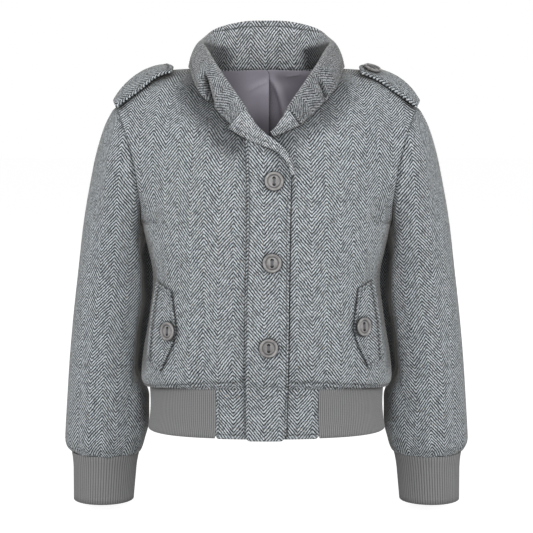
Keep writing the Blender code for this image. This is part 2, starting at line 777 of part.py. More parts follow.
def strap_point(side, x, across):
    """Points on top of an epaulette, on the left shoulder; across runs towards the back."""
    outer = (ARM_TOP[0] - 1.0) * MM
    points, ways = shoulder_point(x, across)
    part = np.clip((outer - np.asarray(x)) / (outer - STRAP_INNER_X * MM), 0, 1)
    lift = 3 * LAY_GAP + STRAP_WALL
    lift = lift + STRAP_RISE[side] * MM * np.clip(part * 1.5 - 0.5, 0, 1) ** 2
    lift += STRAP_ARCH[side] * MM * np.sin(math.pi * part ** 2)
    lift += STRAP_END_LIFT * MM * np.clip(1 - part / 0.3, 0, 1) ** 2
    return points + ways * lift[..., None]


def strap_place(side, sign):
    """Epaulette from the armhole seam to its pointed loose end near the collar."""
    outer = ARM_TOP[0] - 1.0

    def place(columns, rows):
        part = columns if sign < 0 else 1 - columns
        spread = np.sin(np.clip(part / 0.45, 0, 1) * math.pi / 2)
        front = STRAP_FRONT_REACH + STRAP_FRONT_SPREAD * spread
        back = STRAP_BACK_REACH - STRAP_BACK_TAPER * part
        across = -front + (front + back) * rows
        tip = STRAP_INNER_X + STRAP_TIP * np.abs(2 * rows - 1) ** 1.5
        x = (outer + (tip - outer) * part) * MM
        points = strap_point(side, x, across * MM)
        points[:, 0] *= sign
        return points
    return place


def add_strap_button(side, sign):
    """Button on an epaulette, lying on the strap where it rests."""
    radius = 0.75 * BUTTON_RADIUS
    x = STRAP_BUTTON_X * MM
    across = STRAP_BUTTON_ACROSS * MM
    rim = strap_point(side, np.array((x - radius, x + radius, x, x)),
                      np.array((across, across, across - radius, across + radius)))
    way = unit(np.cross(rim[1] - rim[0], rim[3] - rim[2]))
    line = across + np.linspace(-1, 1, 7) * BUTTON_RADIUS
    heights = strap_point(side, np.full(7, x), line) @ way
    middle = rim.mean(axis=0)
    place = middle + way * (heights.max() - middle @ way + 2 * LAY_GAP)
    add_button("button_epaulette_" + side, (sign * place[0], place[1], place[2]),
               (sign * way[0], way[1], way[2]))


def add_button(name, seat, out):
    """Turned two-hole button seated on a point, its face along a direction."""
    wire = bmesh.new()
    start = math.pi / BUTTON_SIDES
    points = []
    for radius, height in BUTTON_PROFILE:
        reach = radius * BUTTON_RADIUS
        place = (reach * math.cos(start), reach * math.sin(start), height * BUTTON_HEIGHT)
        points.append(wire.verts.new(place))
    for first, second in zip(points, points[1:]):
        wire.edges.new((first, second))
    mesh = bpy.data.meshes.new(name)
    wire.to_mesh(mesh)
    wire.free()
    made = add_object(name, mesh, HORN)
    turned = made.modifiers.new("turned", "SCREW")
    turned.steps = BUTTON_SIDES
    turned.render_steps = BUTTON_SIDES
    turned.use_merge_vertices = True
    turned.merge_threshold = 0.00002
    holes = bmesh.new()
    for side in (-1, 1):
        shift = Matrix.Translation((0, side * BUTTON_HOLE_SPACING / 2, BUTTON_HEIGHT / 2))
        bmesh.ops.create_cone(holes, cap_ends=True, segments=6, radius1=BUTTON_HOLE_RADIUS,
                              radius2=BUTTON_HOLE_RADIUS, depth=3 * BUTTON_HEIGHT, matrix=shift)
    hole_mesh = bpy.data.meshes.new(name + "_holes")
    holes.to_mesh(hole_mesh)
    holes.free()
    cutter = bpy.data.objects.new(name + "_holes", hole_mesh)
    bpy.data.collections["cutters"].objects.link(cutter)
    cutter.hide_render = True
    cutter.display_type = "WIRE"
    pierce = made.modifiers.new("holes", "BOOLEAN")
    pierce.object = cutter
    pierce.solver = "EXACT"
    face = Vector(out)
    right = Vector((0, 0, 1)).cross(face)
    right = right.normalized() if right.length > 0.2 else Vector((0, 1, 0))
    up = face.cross(right).normalized()
    placed = Matrix((right, up, face)).transposed().to_4x4()
    placed.translation = Vector(seat)
    made.matrix_world = placed
    cutter.matrix_world = placed


def add_front_button(name, x, z, lay):
    """Button on the front at x and z in millimetres, over a layer of given thickness."""
    across, level = front_place(np.array([x * MM]), np.array([z * MM]))
    way = body_normal(-1, across, level)[0]
    start = body_point(-1, across, level)[0]
    add_button(name, start + way * (lay + LAY_GAP), way)


def build():
    """Build every piece of the jacket."""
    for old in list(bpy.data.objects):
        bpy.data.objects.remove(old)
    for name in ("jacket", "cutters"):
        bpy.context.scene.collection.children.link(bpy.data.collections.new(name))

    body_cloth("front_right", FRONT_COLUMNS, PANEL_ROWS, -1, right_front_place, 0, CLOTH, TWEED)
    body_cloth("front_left", FRONT_COLUMNS + 2, PANEL_ROWS, -1, left_front_place, 0, CLOTH, TWEED)
    half_back = BACK_COLUMNS // 2
    body_cloth("back", half_back, PANEL_ROWS, 1, back_place, 0, CLOTH, TWEED, mirrored=True)
    body_cloth("lining_back", half_back - 1, LINING_ROWS, 1, lining_place, CLOTH + 2 * LAY_GAP,
               LINING_WALL, SATIN, mirrored=True)
    for side, sign in (("right", -1), ("left", 1)):
        add_sleeve("sleeve_" + side, sign)
        add_cuff("cuff_" + side, sign)
        laid_cloth("pocket_flap_" + side, 4, 8, flap_place(sign, FLAP_SHIFT[side]), FLAP_WALL, TWEED)
        cloth("epaulette_" + side, 9, 7, strap_place(side, sign), STRAP_WALL, TWEED)
    add_hem_rib()
    cloth("hem_tab_right", 3, 3, tab_place(TAB_EDGES[0], -0.02), PLACKET_WALL, TWEED)
    cloth("hem_tab_left", 4, 3, tab_place(TAB_EDGES[1], -0.02), PLACKET_WALL, TWEED)
    placket_rows = len(PANEL_LOW) + 3 + PLACKET_SLANT_ROWS
    laid_cloth("placket", 4, placket_rows, placket_place, PLACKET_WALL, TWEED)
    add_collar()
    add_lapel("lapel_right", RIGHT_LAPEL, -1, 6.0, PLACKET_WALL + 3.5 * LAY_GAP, 12)
    add_lapel("lapel_left", LEFT_LAPEL, 1, LEFT_LAPEL_END, 0.0, 5)

    for number, (x, z) in enumerate(FRONT_BUTTONS, 1):
        add_front_button("button_front_%d" % number, x, z, PLACKET_WALL + LAY_GAP)
    for side, sign in (("right", -1), ("left", 1)):
        x, z = POCKET_BUTTONS[side]
        add_front_button("button_pocket_" + side, sign * x, z, FLAP_GAP + FLAP_WALL + LAY_GAP)
    add_strap_button("left", 1)


build()
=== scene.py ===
"""Looks of the herringbone blouson jacket: cloth shells, knitted ribs, sewing, buttons and light.

Metres, in the frame of the part: +Z up, front towards -Y, +X on the wearer's left.
Right and left are the wearer's. Tables are in millimetres.
"""

import math

import bmesh
import bpy
import numpy as np
from mathutils import Matrix, Vector


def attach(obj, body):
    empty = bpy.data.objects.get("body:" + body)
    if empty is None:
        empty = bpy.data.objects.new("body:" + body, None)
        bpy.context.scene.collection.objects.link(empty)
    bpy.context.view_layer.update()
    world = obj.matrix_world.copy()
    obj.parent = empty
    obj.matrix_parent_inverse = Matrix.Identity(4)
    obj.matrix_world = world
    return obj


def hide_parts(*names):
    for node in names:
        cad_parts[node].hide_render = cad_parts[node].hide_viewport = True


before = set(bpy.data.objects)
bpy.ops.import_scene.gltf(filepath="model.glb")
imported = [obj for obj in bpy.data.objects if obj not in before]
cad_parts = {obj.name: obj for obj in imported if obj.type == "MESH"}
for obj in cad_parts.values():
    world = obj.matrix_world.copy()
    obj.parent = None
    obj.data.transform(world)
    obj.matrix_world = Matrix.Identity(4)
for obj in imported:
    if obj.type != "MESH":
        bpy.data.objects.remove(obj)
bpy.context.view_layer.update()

MM = 0.001
SIDES = (("right", -1), ("left", 1))

# Camera, in metres; the image is 533 by 533
CAMERA_PLACE = (0.0, -2.6, 0.04)
CAMERA_AIM = (0.0, 0.0, -0.2765)
CAMERA_LENS = 126.36
SENSOR_WIDTH = 36.0

# Walls of the shells, the share by which their edges bulge, and the smallest share of a cut that is cloth
CLOTH_WALL = 1.7 * MM
COLLAR_WALL = 2.8 * MM
LAPEL_WALL = 1.6 * MM
FLAP_WALL = 2.4 * MM
STRAP_WALL = 2.8 * MM
PLACKET_WALL = 2.4 * MM
LINING_WALL = 0.6 * MM
RIB_WALL = 1.6 * MM
EDGE_BULGE = 0.45
LEAST_FILL = 0.31

# Thickness of the solids that the shells stand for, and gaps between layers
CLOTH_SOLID = 2.0 * MM
PLACKET_SOLID = 2.5 * MM
FLAP_SOLID = 2.6 * MM
STRAP_SOLID = 3.0 * MM
LAY_GAP = 0.4 * MM
FLAP_GAP = 1.1 * MM
SEAM_GAP = 0.3 * MM

# Grids, as columns and rows, and how finely curves are sampled to space them
FRONT_GRID = (70, 210)
LEFT_COLUMNS = (12, 22, 65)
BACK_GRID = (75, 190)
LINING_GRID = (90, 230)
SLEEVE_GRID = (120, 160)
COLLAR_GRID = (320, 70)
LAPEL_GRID = (90, 32)
PLACKET_GRID = (54, 300)
TAB_GRID = (44, 44)
FLAP_GRID = (44, 116)
STRAP_GRID = (60, 44)
KNIT_ROWS = 9
HEM_RIB_STEPS = 6
CUFF_RIB_STEPS = 8
FRONT_SAMPLES = 1500
PANEL_SAMPLES = 800
SLEEVE_SAMPLES = 700
COLLAR_SAMPLES = 900
RIB_SAMPLES = 4000
PINCH_SPOTS = 40
SEARCH_ROUNDS = 40
# How near the middle a point counts as on it, and how near points are joined, in metres
ON_CENTRE = 1e-7
JOIN_REACH = 2e-5

# Weave and knit
STRIPE = 20.6 * MM
TWILL_PITCH = 5.1 * MM
TWILL_SLOPE = 1.2
COLLAR_PITCH = 5.5 * MM
COLLAR_SLOPE = 1.3
LAPEL_CLOSER = 1.3
FLAP_CLOSER = 1.2
NECK_TIGHT = 0.25
NECK_TIGHT_DROP = 80.0 * MM
WEAVE_DRIFT = 6.0 * MM
WEAVE_SWAY = 2.5 * MM
YARN = 1.35 * MM
# Scale and detail of each noise in the tweed
DRIFT_NOISE = (26.0, 2.0)
SWAY_NOISE = (45.0, 1.0)
YARN_NOISE = (560.0, 2.0)
MOTTLE_NOISE = (120.0, 3.0)
TAN_NOISE = (330.0, 1.0)
BLUE_NOISE = (270.0, 1.0)
FLECK_RANGE = (0.62, 0.70)
FLECK_SHARE = 0.4
# How far painted shade in folds reaches, on most cloth and on the collar
FOLD_REACH = 22.0 * MM
COLLAR_REACH = 60.0 * MM
SEAM_STEP = 2.4 * MM
HEM_RIB_PITCH = 2.95 * MM
CUFF_RIB_PITCH = 3.7 * MM
RIB_DEPTH = 0.5 * MM
KNIT_STITCH = 2.3 * MM

# Stitches, and how far from its edge each line of them runs
STITCH_PITCH = 3.6 * MM
STITCH_LENGTH = 2.5 * MM
STITCH_RADIUS = 0.38 * MM
GROOVE_WIDTH = 1.3 * MM
HEM_STITCH = 11.0 * MM
COLLAR_STITCH = 7.0 * MM
PLACKET_STITCH = 3.5 * MM
TAB_STITCH = 5.0 * MM
TAB_SIDE_STITCH = 4.5 * MM
FLAP_STITCH = 4.6 * MM
STRAP_STITCH = 6.5 * MM
ROOT_SEAM = 4.5 * MM
ROOT_PITCH = 6.0 * MM
ROOT_WIDTH = 1.9 * MM
# Depth of the groove that the stitches leave, and how broken the weave is in the band beside them
GROOVE_DEPTH = {"collar": 0.8 * MM, "lapel": 0.5 * MM, "placket": 0.7 * MM, "tab": 0.4 * MM,
                "flap": 0.9 * MM, "strap": 1.0 * MM}
BAND = {"front": 0.35, "sleeve": 0.5, "collar": 0.5, "lapel": 0.4, "placket": 0.45, "tab": 0.35,
        "flap": 0.6}
# Painted shade in lines along seams, in the stitched grooves and at the edges: the edges that they follow,
# and their inset, half width and strength; the word side stands for the outer or loose edge of the piece
SEAM_SHADE_LINES = {
    "front": (("low", HEM_STITCH, 1.7 * MM, 0.5),),
    "collar": (("high", COLLAR_STITCH, 1.1 * MM, 0.55),),
    "lapel": (("high", COLLAR_STITCH, 1.0 * MM, 0.3),),
    "placket": (("first", PLACKET_STITCH, 1.0 * MM, 0.5), ("last", PLACKET_STITCH, 0.8 * MM, 0.3),
                ("first", 0.0, 1.0 * MM, 0.6)),
    "tab": (("low", TAB_STITCH, 0.9 * MM, 0.35), ("side", TAB_SIDE_STITCH, 0.9 * MM, 0.45),
            ("side", 0.0, 0.8 * MM, 0.5)),
    "flap": (("side low high", FLAP_STITCH, 0.8 * MM, 0.22), ("side low high", 0.0, 0.8 * MM, 0.25)),
    "strap": (("side low high", STRAP_STITCH, 0.9 * MM, 0.5),),
}

# Where the herringbone points fall
PLACKET_CENTRE = -1.9 * MM
TAB_CENTRE = {"right": -43.2 * MM, "left": 43.2 * MM}

# Lining: body level it starts at, share of the back's width, height above which it shows, and its pleat
LINING_LEVEL = 3.2
LINING_REACH = 0.875
LINING_SHOWN = -150.0 * MM
HIDDEN_STEP = 4
PLEAT_LAP = 3.6 * MM
# Drop below the neck and x of the curved edge of the lining's pleat
PLEAT_CURVE = ((0, 3.6), (18, 4.5), (26, 9.5), (38, 14.5), (52, 19), (71, 22), (110, 25), (430, 30))

# Shade from above on the fronts: the outline in x and z, its strength, and where it fades
RIGHT_SHADE = (((-98, -31), (-88, -44), (-74, -60), (-59, -73), (-55, -85), (-45, -91)), 0.6, 9, 38)
LEFT_SHADE = (((95, -33), (78, -55), (59, -66), (37, -78), (22, -89)), 0.45, 7, 34)

# Colours
WHITE = (1, 1, 1, 1)
TWEED_DARK = (0.03, 0.034, 0.037, 1)
TWEED_LIGHT = (0.70, 0.755, 0.795, 1)
# The collar's light yarn, painted brighter than the body's: painted light on the collar
COLLAR_PAINTED_LIGHT = (0.83, 0.872, 0.91, 1)
TWEED_FUZZ = (1.0, 0.97, 0.92, 1)
FLECK_TAN = (0.42, 0.36, 0.28, 1)
FLECK_BLUE = (0.24, 0.30, 0.38, 1)
# The knit in the valleys between ribs, painted darker: painted shade
KNIT_VALLEY_SHADE = (0.17, 0.17, 0.172, 1)
KNIT_MIDDLE = (0.29, 0.29, 0.293, 1)
KNIT_LIGHT = (0.33, 0.33, 0.333, 1)
SATIN_DARK = (0.41, 0.38, 0.445, 1)
SATIN_LIGHT = (0.54, 0.505, 0.59, 1)
HORN_DARK = (0.26, 0.25, 0.248, 1)
HORN_LIGHT = (0.42, 0.41, 0.405, 1)
THREAD = (0.16, 0.165, 0.17, 1)
# Colour that all painted shade darkens towards
FOLD_SHADE = (0.012, 0.012, 0.013, 1)
FLOOR_COLOUR = (0.4, 0.4, 0.4, 1)
FLOOR_BOUNCE = (0.25, 0.25, 0.25, 1)

# Floor and light, in metres and watts
FLOOR_SIZE = 16.0
FLOOR_HEIGHT = -0.63
FLOOR_GLOW = 0.9
BACKDROP_STRENGTH = 1.0
WORLD_STRENGTH = 0.2
LIGHT_AIM = (0, 0, -0.25)
LIGHTS = (
    ("key", (0.05, -3.2, 0.55), 1.8, 58.0),
    ("side_right", (-2.3, -1.0, 0.5), 1.6, 24.0),
    ("side_left", (2.3, -1.0, 0.5), 1.6, 24.0),
    ("behind", (0.6, 3.0, 0.9), 2.0, 22.0),
)

# Body sections from the hem up
BODY_COLUMNS = ("z_front", "z_side", "z_back", "half_width", "front", "back", "side_y")
BODY_SECTIONS = {
    "rib_bottom": (-496, -501, -502, 166.5, -121.5, 100, -10),
    "rib_middle": (-465, -472, -473, 163.0, -121.0, 99, -10),
    "hem_seam": (-427.5, -437.5, -437, 164.6, -123.0, 102, -11),
    "lip": (-422.5, -439, -436, 171.5, -125.0, 110, -12),
    "blouse": (-411, -426.5, -424, 175.2, -128.0, 114, -12),
    "low": (-385, -390, -388, 171.7, -130.5, 112, -12),
    "pocket": (-345, -345, -345, 164.0, -131.0, 107, -12),
    "waist": (-290, -290, -290, 157.8, -129.5, 101, -12),
    "middle": (-245, -245, -245, 165.5, -129.0, 105, -9),
    "underarm": (-207, -214, -210, 173.5, -127.5, 110, 2),
}
HEM_LEVEL = 2
HEM_TURN = 3.3
UNDERARM_LEVEL = 9
ARM_ROWS = 10
TOP_LEVEL = UNDERARM_LEVEL + ARM_ROWS
ROUNDNESS = 0.60
SIDE_END = 0.9993

# Centre lines above the underarm and the neck line
FRONT_CENTRE = ((0, -125.5, -178), (0, -122, -149), (0, -117.5, -120))
BACK_CENTRE = (
    (0, 113.5, -180), (0, 115.5, -150), (0, 115, -120),
    (0, 111.5, -90), (0, 105, -60), (0, 96, -32),
)
BACK_DIPS = {7: 0.2, 8: 0.32, 9: 0.16}
NECK_CORNER = {-1: UNDERARM_LEVEL + len(FRONT_CENTRE) + 1, 1: UNDERARM_LEVEL + len(BACK_CENTRE) + 1}
# Each station's x, y and z, and the direction that its wall faces, in degrees
NECK_LINE = {
    "centre_back": (0, 83, -4, 180),
    "back": (38, 79, -4, 165),
    "side_back": (76, 58, -3, 128),
    "neck_side": (101, 10, -1, 88),
    "side_front": (95, -22, -6, 67),
    "front_high": (75, -57, -20, 54),
    "front_middle": (53, -82, -44, 44),
    "gorge": (34, -97, -67, 34),
    "lapel_top": (16, -106, -83, 24),
    "v_bottom": (0, -111.5, -93, 15),
    "cross": (-12, -115, -101, 9),
    "lapel_low": (-22, -118, -111, 5),
    "lapel_end": (-30, -121, -124, 3),
    "break": (-33.5, -124, -140, 2),
}
GORGE = 7

# Sleeve rings from the armhole down; each side's folds hang by a drop, and lower behind
SLEEVE_COLUMNS = ("outer_x", "outer_z", "inner_x", "inner_z", "middle_y", "half_depth", "bow")
SLEEVE_RINGS = {
    "armhole": (207, -50, 173.5, -215, 4, 60, -10.5),
    "cap": (215, -61, 174.5, -219, 6, 61, -8),
    "head": (226, -82, 172.6, -226, 12, 62, -4),
    "upper": (237, -115, 168.7, -238, 20, 62, 0),
    "biceps": (247.5, -158, 162.7, -256, 28, 61, 0),
    "above_elbow": (258, -214, 158.5, -282, 35, 60, 0),
    "elbow": (267, -281, 157, -318, 42, 59, 0),
    "below_elbow": (275.5, -350, 163, -370, 45, 58, 0),
    "forearm": (281.5, -411, 169.5, -424, 45, 57, 0),
    "low": (285, -464, 172, -471, 40, 56, 0),
    "blouse": (288, -512, 172, -514, 38, 54.5, 0),
    "lip": (288, -530, 175, -531, 36, 52, 0),
    "tuck": (284.5, -540, 179, -541, 35, 48, 0),
    "seam": (279.3, -545.5, 182.6, -546.5, 34, 45.5, 0),
}
SLEEVE_DROP = {"right": -13, "left": 0}
BEHIND_DROP = 17.0 * MM
# The sleeve's middle line drawn on to the shoulder, its radius and its lean, for the weave
SLEEVE_TOP = (190, 0, -50)
SLEEVE_RADIUS = 60.0 * MM
SLEEVE_WAY = np.array((0.12, 0, -0.993))
CUFF_COLUMNS = ("z", "middle_x", "half_width", "half_depth")
CUFF_RINGS = {
    "seam": (-546.9, 230.8, 46.2, 43.4),
    "bottom": (-616, 234.2, 43.0, 41.5),
}
CUFF_MIDDLE_Y = 34.0 * MM
CUFF_FLARE = 2.2 * MM

# Collar and lapel sections: rise along the neck wall and outward reach
COLLAR_SECTIONS = {
    "centre_back": (23, 1, 46, 1.5, 68, 2),
    "back": (24, 0, 48, 1, 66, 4),
    "side_back": (30, -10, 62, -5, 52, 6),
    "neck_side": (46, -32, 54, -3, 7, 5),
    "side_front": (38, -38, 50, 8, 4, 11),
    "front_high": (32, -24, 48, 26, -6, 22),
    "front_middle": (26, -14, 42, 26, -9, 20),
    "gorge": (21, -8, 34, 20, -9, 15),
}
RIGHT_LAPEL = {
    "gorge": (21, -8, 36, 22, -15, 17),
    "lapel_top": (14, -3, 22, 16, -11, 9),
    "v_bottom": (9, -1, 13, 12, -9, 6),
    "cross": (7, -1, 11, 11, -5.5, 7),
    "lapel_low": (6.5, -1, 10, 10, -3.5, 6.5),
    "lapel_end": (6, -1, 9, 9, -2, 6),
    "break": (5.5, -1, 8, 8, -1, 5.5),
}
LEFT_LAPEL = {
    "gorge": (20, -7, 32, 18, -9, 13),
    "lapel_top": (10, -2, 15, 12, -3, 6),
    "v_bottom": (7, -1, 10, 9, 0, 6),
}
# The section that each lapel ends at
RIGHT_LAPEL_END = 6.0
LEFT_LAPEL_END = 1.45

# Pinches of the rolled collar ends: side, station and step of both ends, half width and depth
PINCHES = (
    (-1, 4.96, 0.79, 5.88, 1.01, 3.7, 12.0),
    (-1, 5.38, 0.72, 6.15, 0.97, 3.0, -2.4),
    (-1, 4.70, 0.86, 5.40, 1.02, 6.0, -1.8),
    (1, 5.50, 0.74, 5.58, 0.98, 2.6, 7.5),
    (1, 5.78, 0.72, 5.86, 0.98, 3.0, -1.5),
    (1, 6.40, 0.62, 6.65, 1.02, 5.0, 1.8),
    (-1, 6.35, 0.64, 6.50, 1.02, 5.0, 1.5),
)
# Pinch depth at which the painted shade in a pinch is full
PINCH_DARK = 11.0 * MM

# Placket, fronts and tabs
PLACKET_COLUMNS = ("z", "right_edge", "left_edge")
PLACKET_EDGES = (
    (-499, -28.5, 25), (-396, -29.5, 28), (-306, -28.5, 29),
    (-219, -26, 30), (-145, -26, 31.5), (-60, -28.5, 32),
)
PLACKET_LOW = -498.5
PLACKET_WIDTH = 54.0 * MM
PLACKET_STRAIGHT = 0.76
PLACKET_TUCK = 8.0 * MM
CORNER_RADIUS = 7.0 * MM
RIGHT_FRONT_EDGE = 22.5
LEFT_FRONT_EDGE = -20.0
# Body level up to which the left front lies under the placket, and where its columns are finer,
# as shares of the placket edge's place
LAPPED_LEVEL = 12
FINE_COLUMNS = (0.93, 1.2)
TAB_EDGES = {"right": (-68.2, -22.5), "left": (-20.0, 70.0)}
RIB_TOP_GAP = 0.022

# Pocket flap outline, one row for each cross line
FLAP_COLUMNS = ("root_x", "root_z", "free_x", "free_z")
FLAP_ROWS = (
    (148, -291, 128.0, -300),
    (153, -318, 124.8, -326),
    (157.5, -350, 121.5, -353),
    (159.0, -368, 127.5, -374),
    (161.5, -397, 143.0, -409),
)
FLAP_SHIFT = {"right": (0.0, 0.0), "left": (-4.5, 4.0)}

# Epaulettes, whose reach is measured from the shoulder seam, and buttons
STRAP_OUTER_X = 206.0
STRAP_INNER_X = 130.0
STRAP_FRONT_REACH = 30.0
STRAP_FRONT_SPREAD = 13.5
STRAP_BACK_REACH = 19.0
STRAP_BACK_TAPER = 9.0
STRAP_TIP = 9.0
STRAP_RISE = {"right": 3.0, "left": 4.0}
STRAP_ARCH = {"right": 4.0, "left": 0.0}
STRAP_END_LIFT = 3.5
BUTTON_RADIUS = 12.5 * MM
BUTTON_HEIGHT = 4.2 * MM
BUTTON_HOLE_RADIUS = 2.3 * MM
BUTTON_HOLE_SPACING = 8.2 * MM
BUTTON_GROOVE = (0.64, 0.72)
BUTTON_SIDES = 64
BUTTON_SHARP = math.radians(38)
THREAD_RADIUS = 0.6 * MM
THREAD_HEIGHT = 0.66 * BUTTON_HEIGHT
# Radius and height shares of the turned outline
BUTTON_PROFILE = (
    (0.0, 0.60), (0.58, 0.58), (0.66, 0.50), (0.70, 0.56), (0.76, 0.88), (0.84, 1.0), (0.92, 0.98),
    (1.0, 0.74), (0.99, 0.42), (0.93, 0.15), (0.80, 0.0), (0.0, 0.0),
)
FRONT_BUTTONS = ((9.9, -148), (7.3, -256), (2.9, -370))
POCKET_BUTTONS = {"right": (-130.2, -354), "left": (128.0, -347.5)}
STRAP_BUTTON_X = 148.0
STRAP_BUTTON_ACROSS = -21.0

# Soft folds: a line from one x and z to another in the front view, its half width and height
FRONT_CREASES = (
    (-185, -150, -118, -205, 13, 1.6), (-178, -172, -128, -232, 11, -1.4),
    (-168, -215, -105, -262, 15, 1.3), (-150, -300, -95, -258, 14, -1.0),
    (-60, -95, -98, -190, 20, 1.5), (-44, -112, -66, -205, 14, -1.2),
    (-120, -432, -104, -372, 9, 1.2), (-84, -432, -78, -388, 8, -1.0),
    (182, -140, 122, -198, 13, 1.5), (176, -176, 122, -226, 12, -1.3),
    (166, -222, 108, -276, 15, 1.2), (150, -285, 96, -262, 13, -0.9),
    (60, -100, 92, -190, 20, 1.4), (46, -120, 58, -215, 13, -1.1),
    (118, -432, 106, -380, 9, 1.1), (88, -432, 80, -384, 8, -0.9), (140, -430, 136, -400, 7, 1.0),
)
BACK_CREASES = (
    (-185, -120, -95, -235, 16, 1.8), (-178, -165, -110, -270, 13, -1.4), (-40, -60, -70, -180, 22, 1.2),
    (-150, -300, -60, -355, 18, 1.4), (-130, -436, -118, -375, 9, 1.4), (-90, -436, -96, -385, 8, -1.2),
    (-52, -436, -44, -380, 9, 1.2), (-14, -436, -22, -392, 8, -1.0),
    (182, -128, 102, -222, 16, 1.7), (174, -172, 118, -258, 13, -1.4), (48, -64, 62, -196, 22, 1.1),
    (146, -288, 72, -340, 18, 1.3), (126, -436, 120, -380, 9, 1.3), (86, -436, 92, -378, 8, -1.2),
    (46, -436, 52, -388, 9, 1.1), (18, -436, 12, -380, 8, -1.1),
)
LINING_CREASES = (
    (-29, -37, -8, -24, 1.5, -1.3), (-13, -26.5, 3, -20, 1.3, -1.1), (-26, -27, 2, -12, 5.5, 1.0),
    (27, -14, 48, -10.5, 1.4, -1.2), (24, -7, 50, -3, 5.0, 0.9), (-17, -42, -13, -98, 6.0, 1.3),
    (36, -30, 30, -95, 7.0, 1.2),
)
SLEEVE_CREASES = (
    (176, -262, 240, -236, 12, 1.6), (166, -288, 236, -282, 12, -1.7), (166, -322, 252, -312, 14, 1.8),
    (170, -362, 248, -336, 11, -1.5), (174, -398, 262, -404, 15, 1.3), (198, -470, 270, -440, 16, 1.2),
    (186, -548, 196, -492, 8, 1.6), (206, -550, 212, -502, 7, -1.5), (224, -551, 226, -490, 8, 1.6),
    (243, -551, 240, -504, 7, -1.4), (258, -550, 254, -494, 8, 1.5), (272, -548, 268, -508, 7, -1.2),
    (214, -92, 222, -190, 16, 1.2), (232, -120, 240, -240, 14, -0.9),
)


# Curves, tables and vectors


def table(columns, rows):
    """Columns of a table by name, in metres."""
    rows = rows.values() if isinstance(rows, dict) else rows
    return dict(zip(columns, np.array(list(rows), float).T * MM))


def along(rows, position):
    """Run a smooth curve through the rows of an array; position counts rows."""
    rows = np.asarray(rows, float)
    position = np.asarray(position, float)
    last = len(rows) - 1
    start = np.clip(np.floor(position).astype(int), 0, last - 1)
    part = (position - start).reshape(position.shape + (1,) * (rows.ndim - 1))
    here = rows[start]
    after = rows[start + 1]
    slope_in = (after - rows[np.maximum(start - 1, 0)]) / 2
    slope_out = (rows[np.minimum(start + 2, last)] - here) / 2
    step = after - here
    return here + part * (slope_in + part * (3 * step - 2 * slope_in - slope_out
                                             + part * (slope_in + slope_out - 2 * step)))


def bezier(controls, part):
    """Evaluate cubic curves; controls end in (4, 3)."""
    part = np.asarray(part, float)[..., None]
    rest = 1 - part
    return (controls[..., 0, :] * rest ** 3 + controls[..., 1, :] * 3 * rest ** 2 * part
            + controls[..., 2, :] * 3 * rest * part ** 2 + controls[..., 3, :] * part ** 3)


def unit(vectors):
    """Scale vectors to length one."""
    return vectors / np.maximum(np.linalg.norm(vectors, axis=-1, keepdims=True), 1e-12)


def stack(*parts):
    """Join tables of numbers into one table of vectors."""
    return np.stack(parts, axis=-1)


def same_shape(*tables):
    """Spread tables of numbers to one shape."""
    return np.broadcast_arrays(*(np.asarray(one, float) for one in tables))


def smooth(value, low, high):
    """Rise smoothly from 0 at low to 1 at high."""
    part = np.clip((np.asarray(value, float) - low) / (high - low), 0, 1)
    return part * part * (3 - 2 * part)


def between(value, low, high, fall, end):
    """Rise smoothly from 0 at low to 1 at high, and sink again from fall to end."""
    return smooth(value, low, high) * (1 - smooth(value, fall, end))


def darkest(*tables):
    """The largest of several shares at each place."""
    return np.maximum.reduce(tables)


def lengths(points, axis):
    """Distance run along one axis of a grid of points, from its first line."""
    steps = np.linalg.norm(np.diff(points, axis=axis), axis=-1)
    start = np.zeros_like(np.take(steps, [0], axis=axis))
    return np.concatenate((start, np.cumsum(steps, axis=axis)), axis=axis)


def line_run(line):
    """Distance run along a line of points."""
    return lengths(line[:, None], 0)[:, 0]


def line_at(spot, run, values):
    """Vectors at a distance along a line whose points lie at the given runs."""
    return np.array([np.interp(spot, run, part) for part in values.T])


def even_places(line, places, steps):
    """Evenly spaced places on a line whose points lie at the given places."""
    run = line_run(line)
    return np.interp(np.linspace(0, run[-1], steps + 1), run, places)


def grid_shares(columns, rows):
    """Column and row shares of a grid, as two tables."""
    return np.meshgrid(np.linspace(0, 1, columns + 1), np.linspace(0, 1, rows + 1))


# The surfaces of sleeves and body

SECTIONS = table(BODY_COLUMNS, BODY_SECTIONS)
RINGS = table(SLEEVE_COLUMNS, SLEEVE_RINGS)
CUFF = table(CUFF_COLUMNS, CUFF_RINGS)
PLACKET = table(PLACKET_COLUMNS, PLACKET_EDGES)
FLAP = table(FLAP_COLUMNS, FLAP_ROWS)
NECK = np.array([row[:3] for row in NECK_LINE.values()], float) * MM


def sleeve_point(turn, ring):
    """A point of the left sleeve; turn 0 is outside, a quarter in front, a half inside."""
    columns = (along(values, ring) for values in RINGS.values())
    outer_x, outer_z, inner_x, inner_z, middle_y, half_depth, bow = columns
    angle = 2 * math.pi * np.asarray(turn, float)
    x = (outer_x + inner_x) / 2 + (outer_x - inner_x) / 2 * np.cos(angle) + bow * np.sin(angle) ** 2
    z = (outer_z + inner_z) / 2 + (outer_z - inner_z) / 2 * np.cos(angle)
    return stack(x, middle_y - half_depth * np.sin(angle), z)


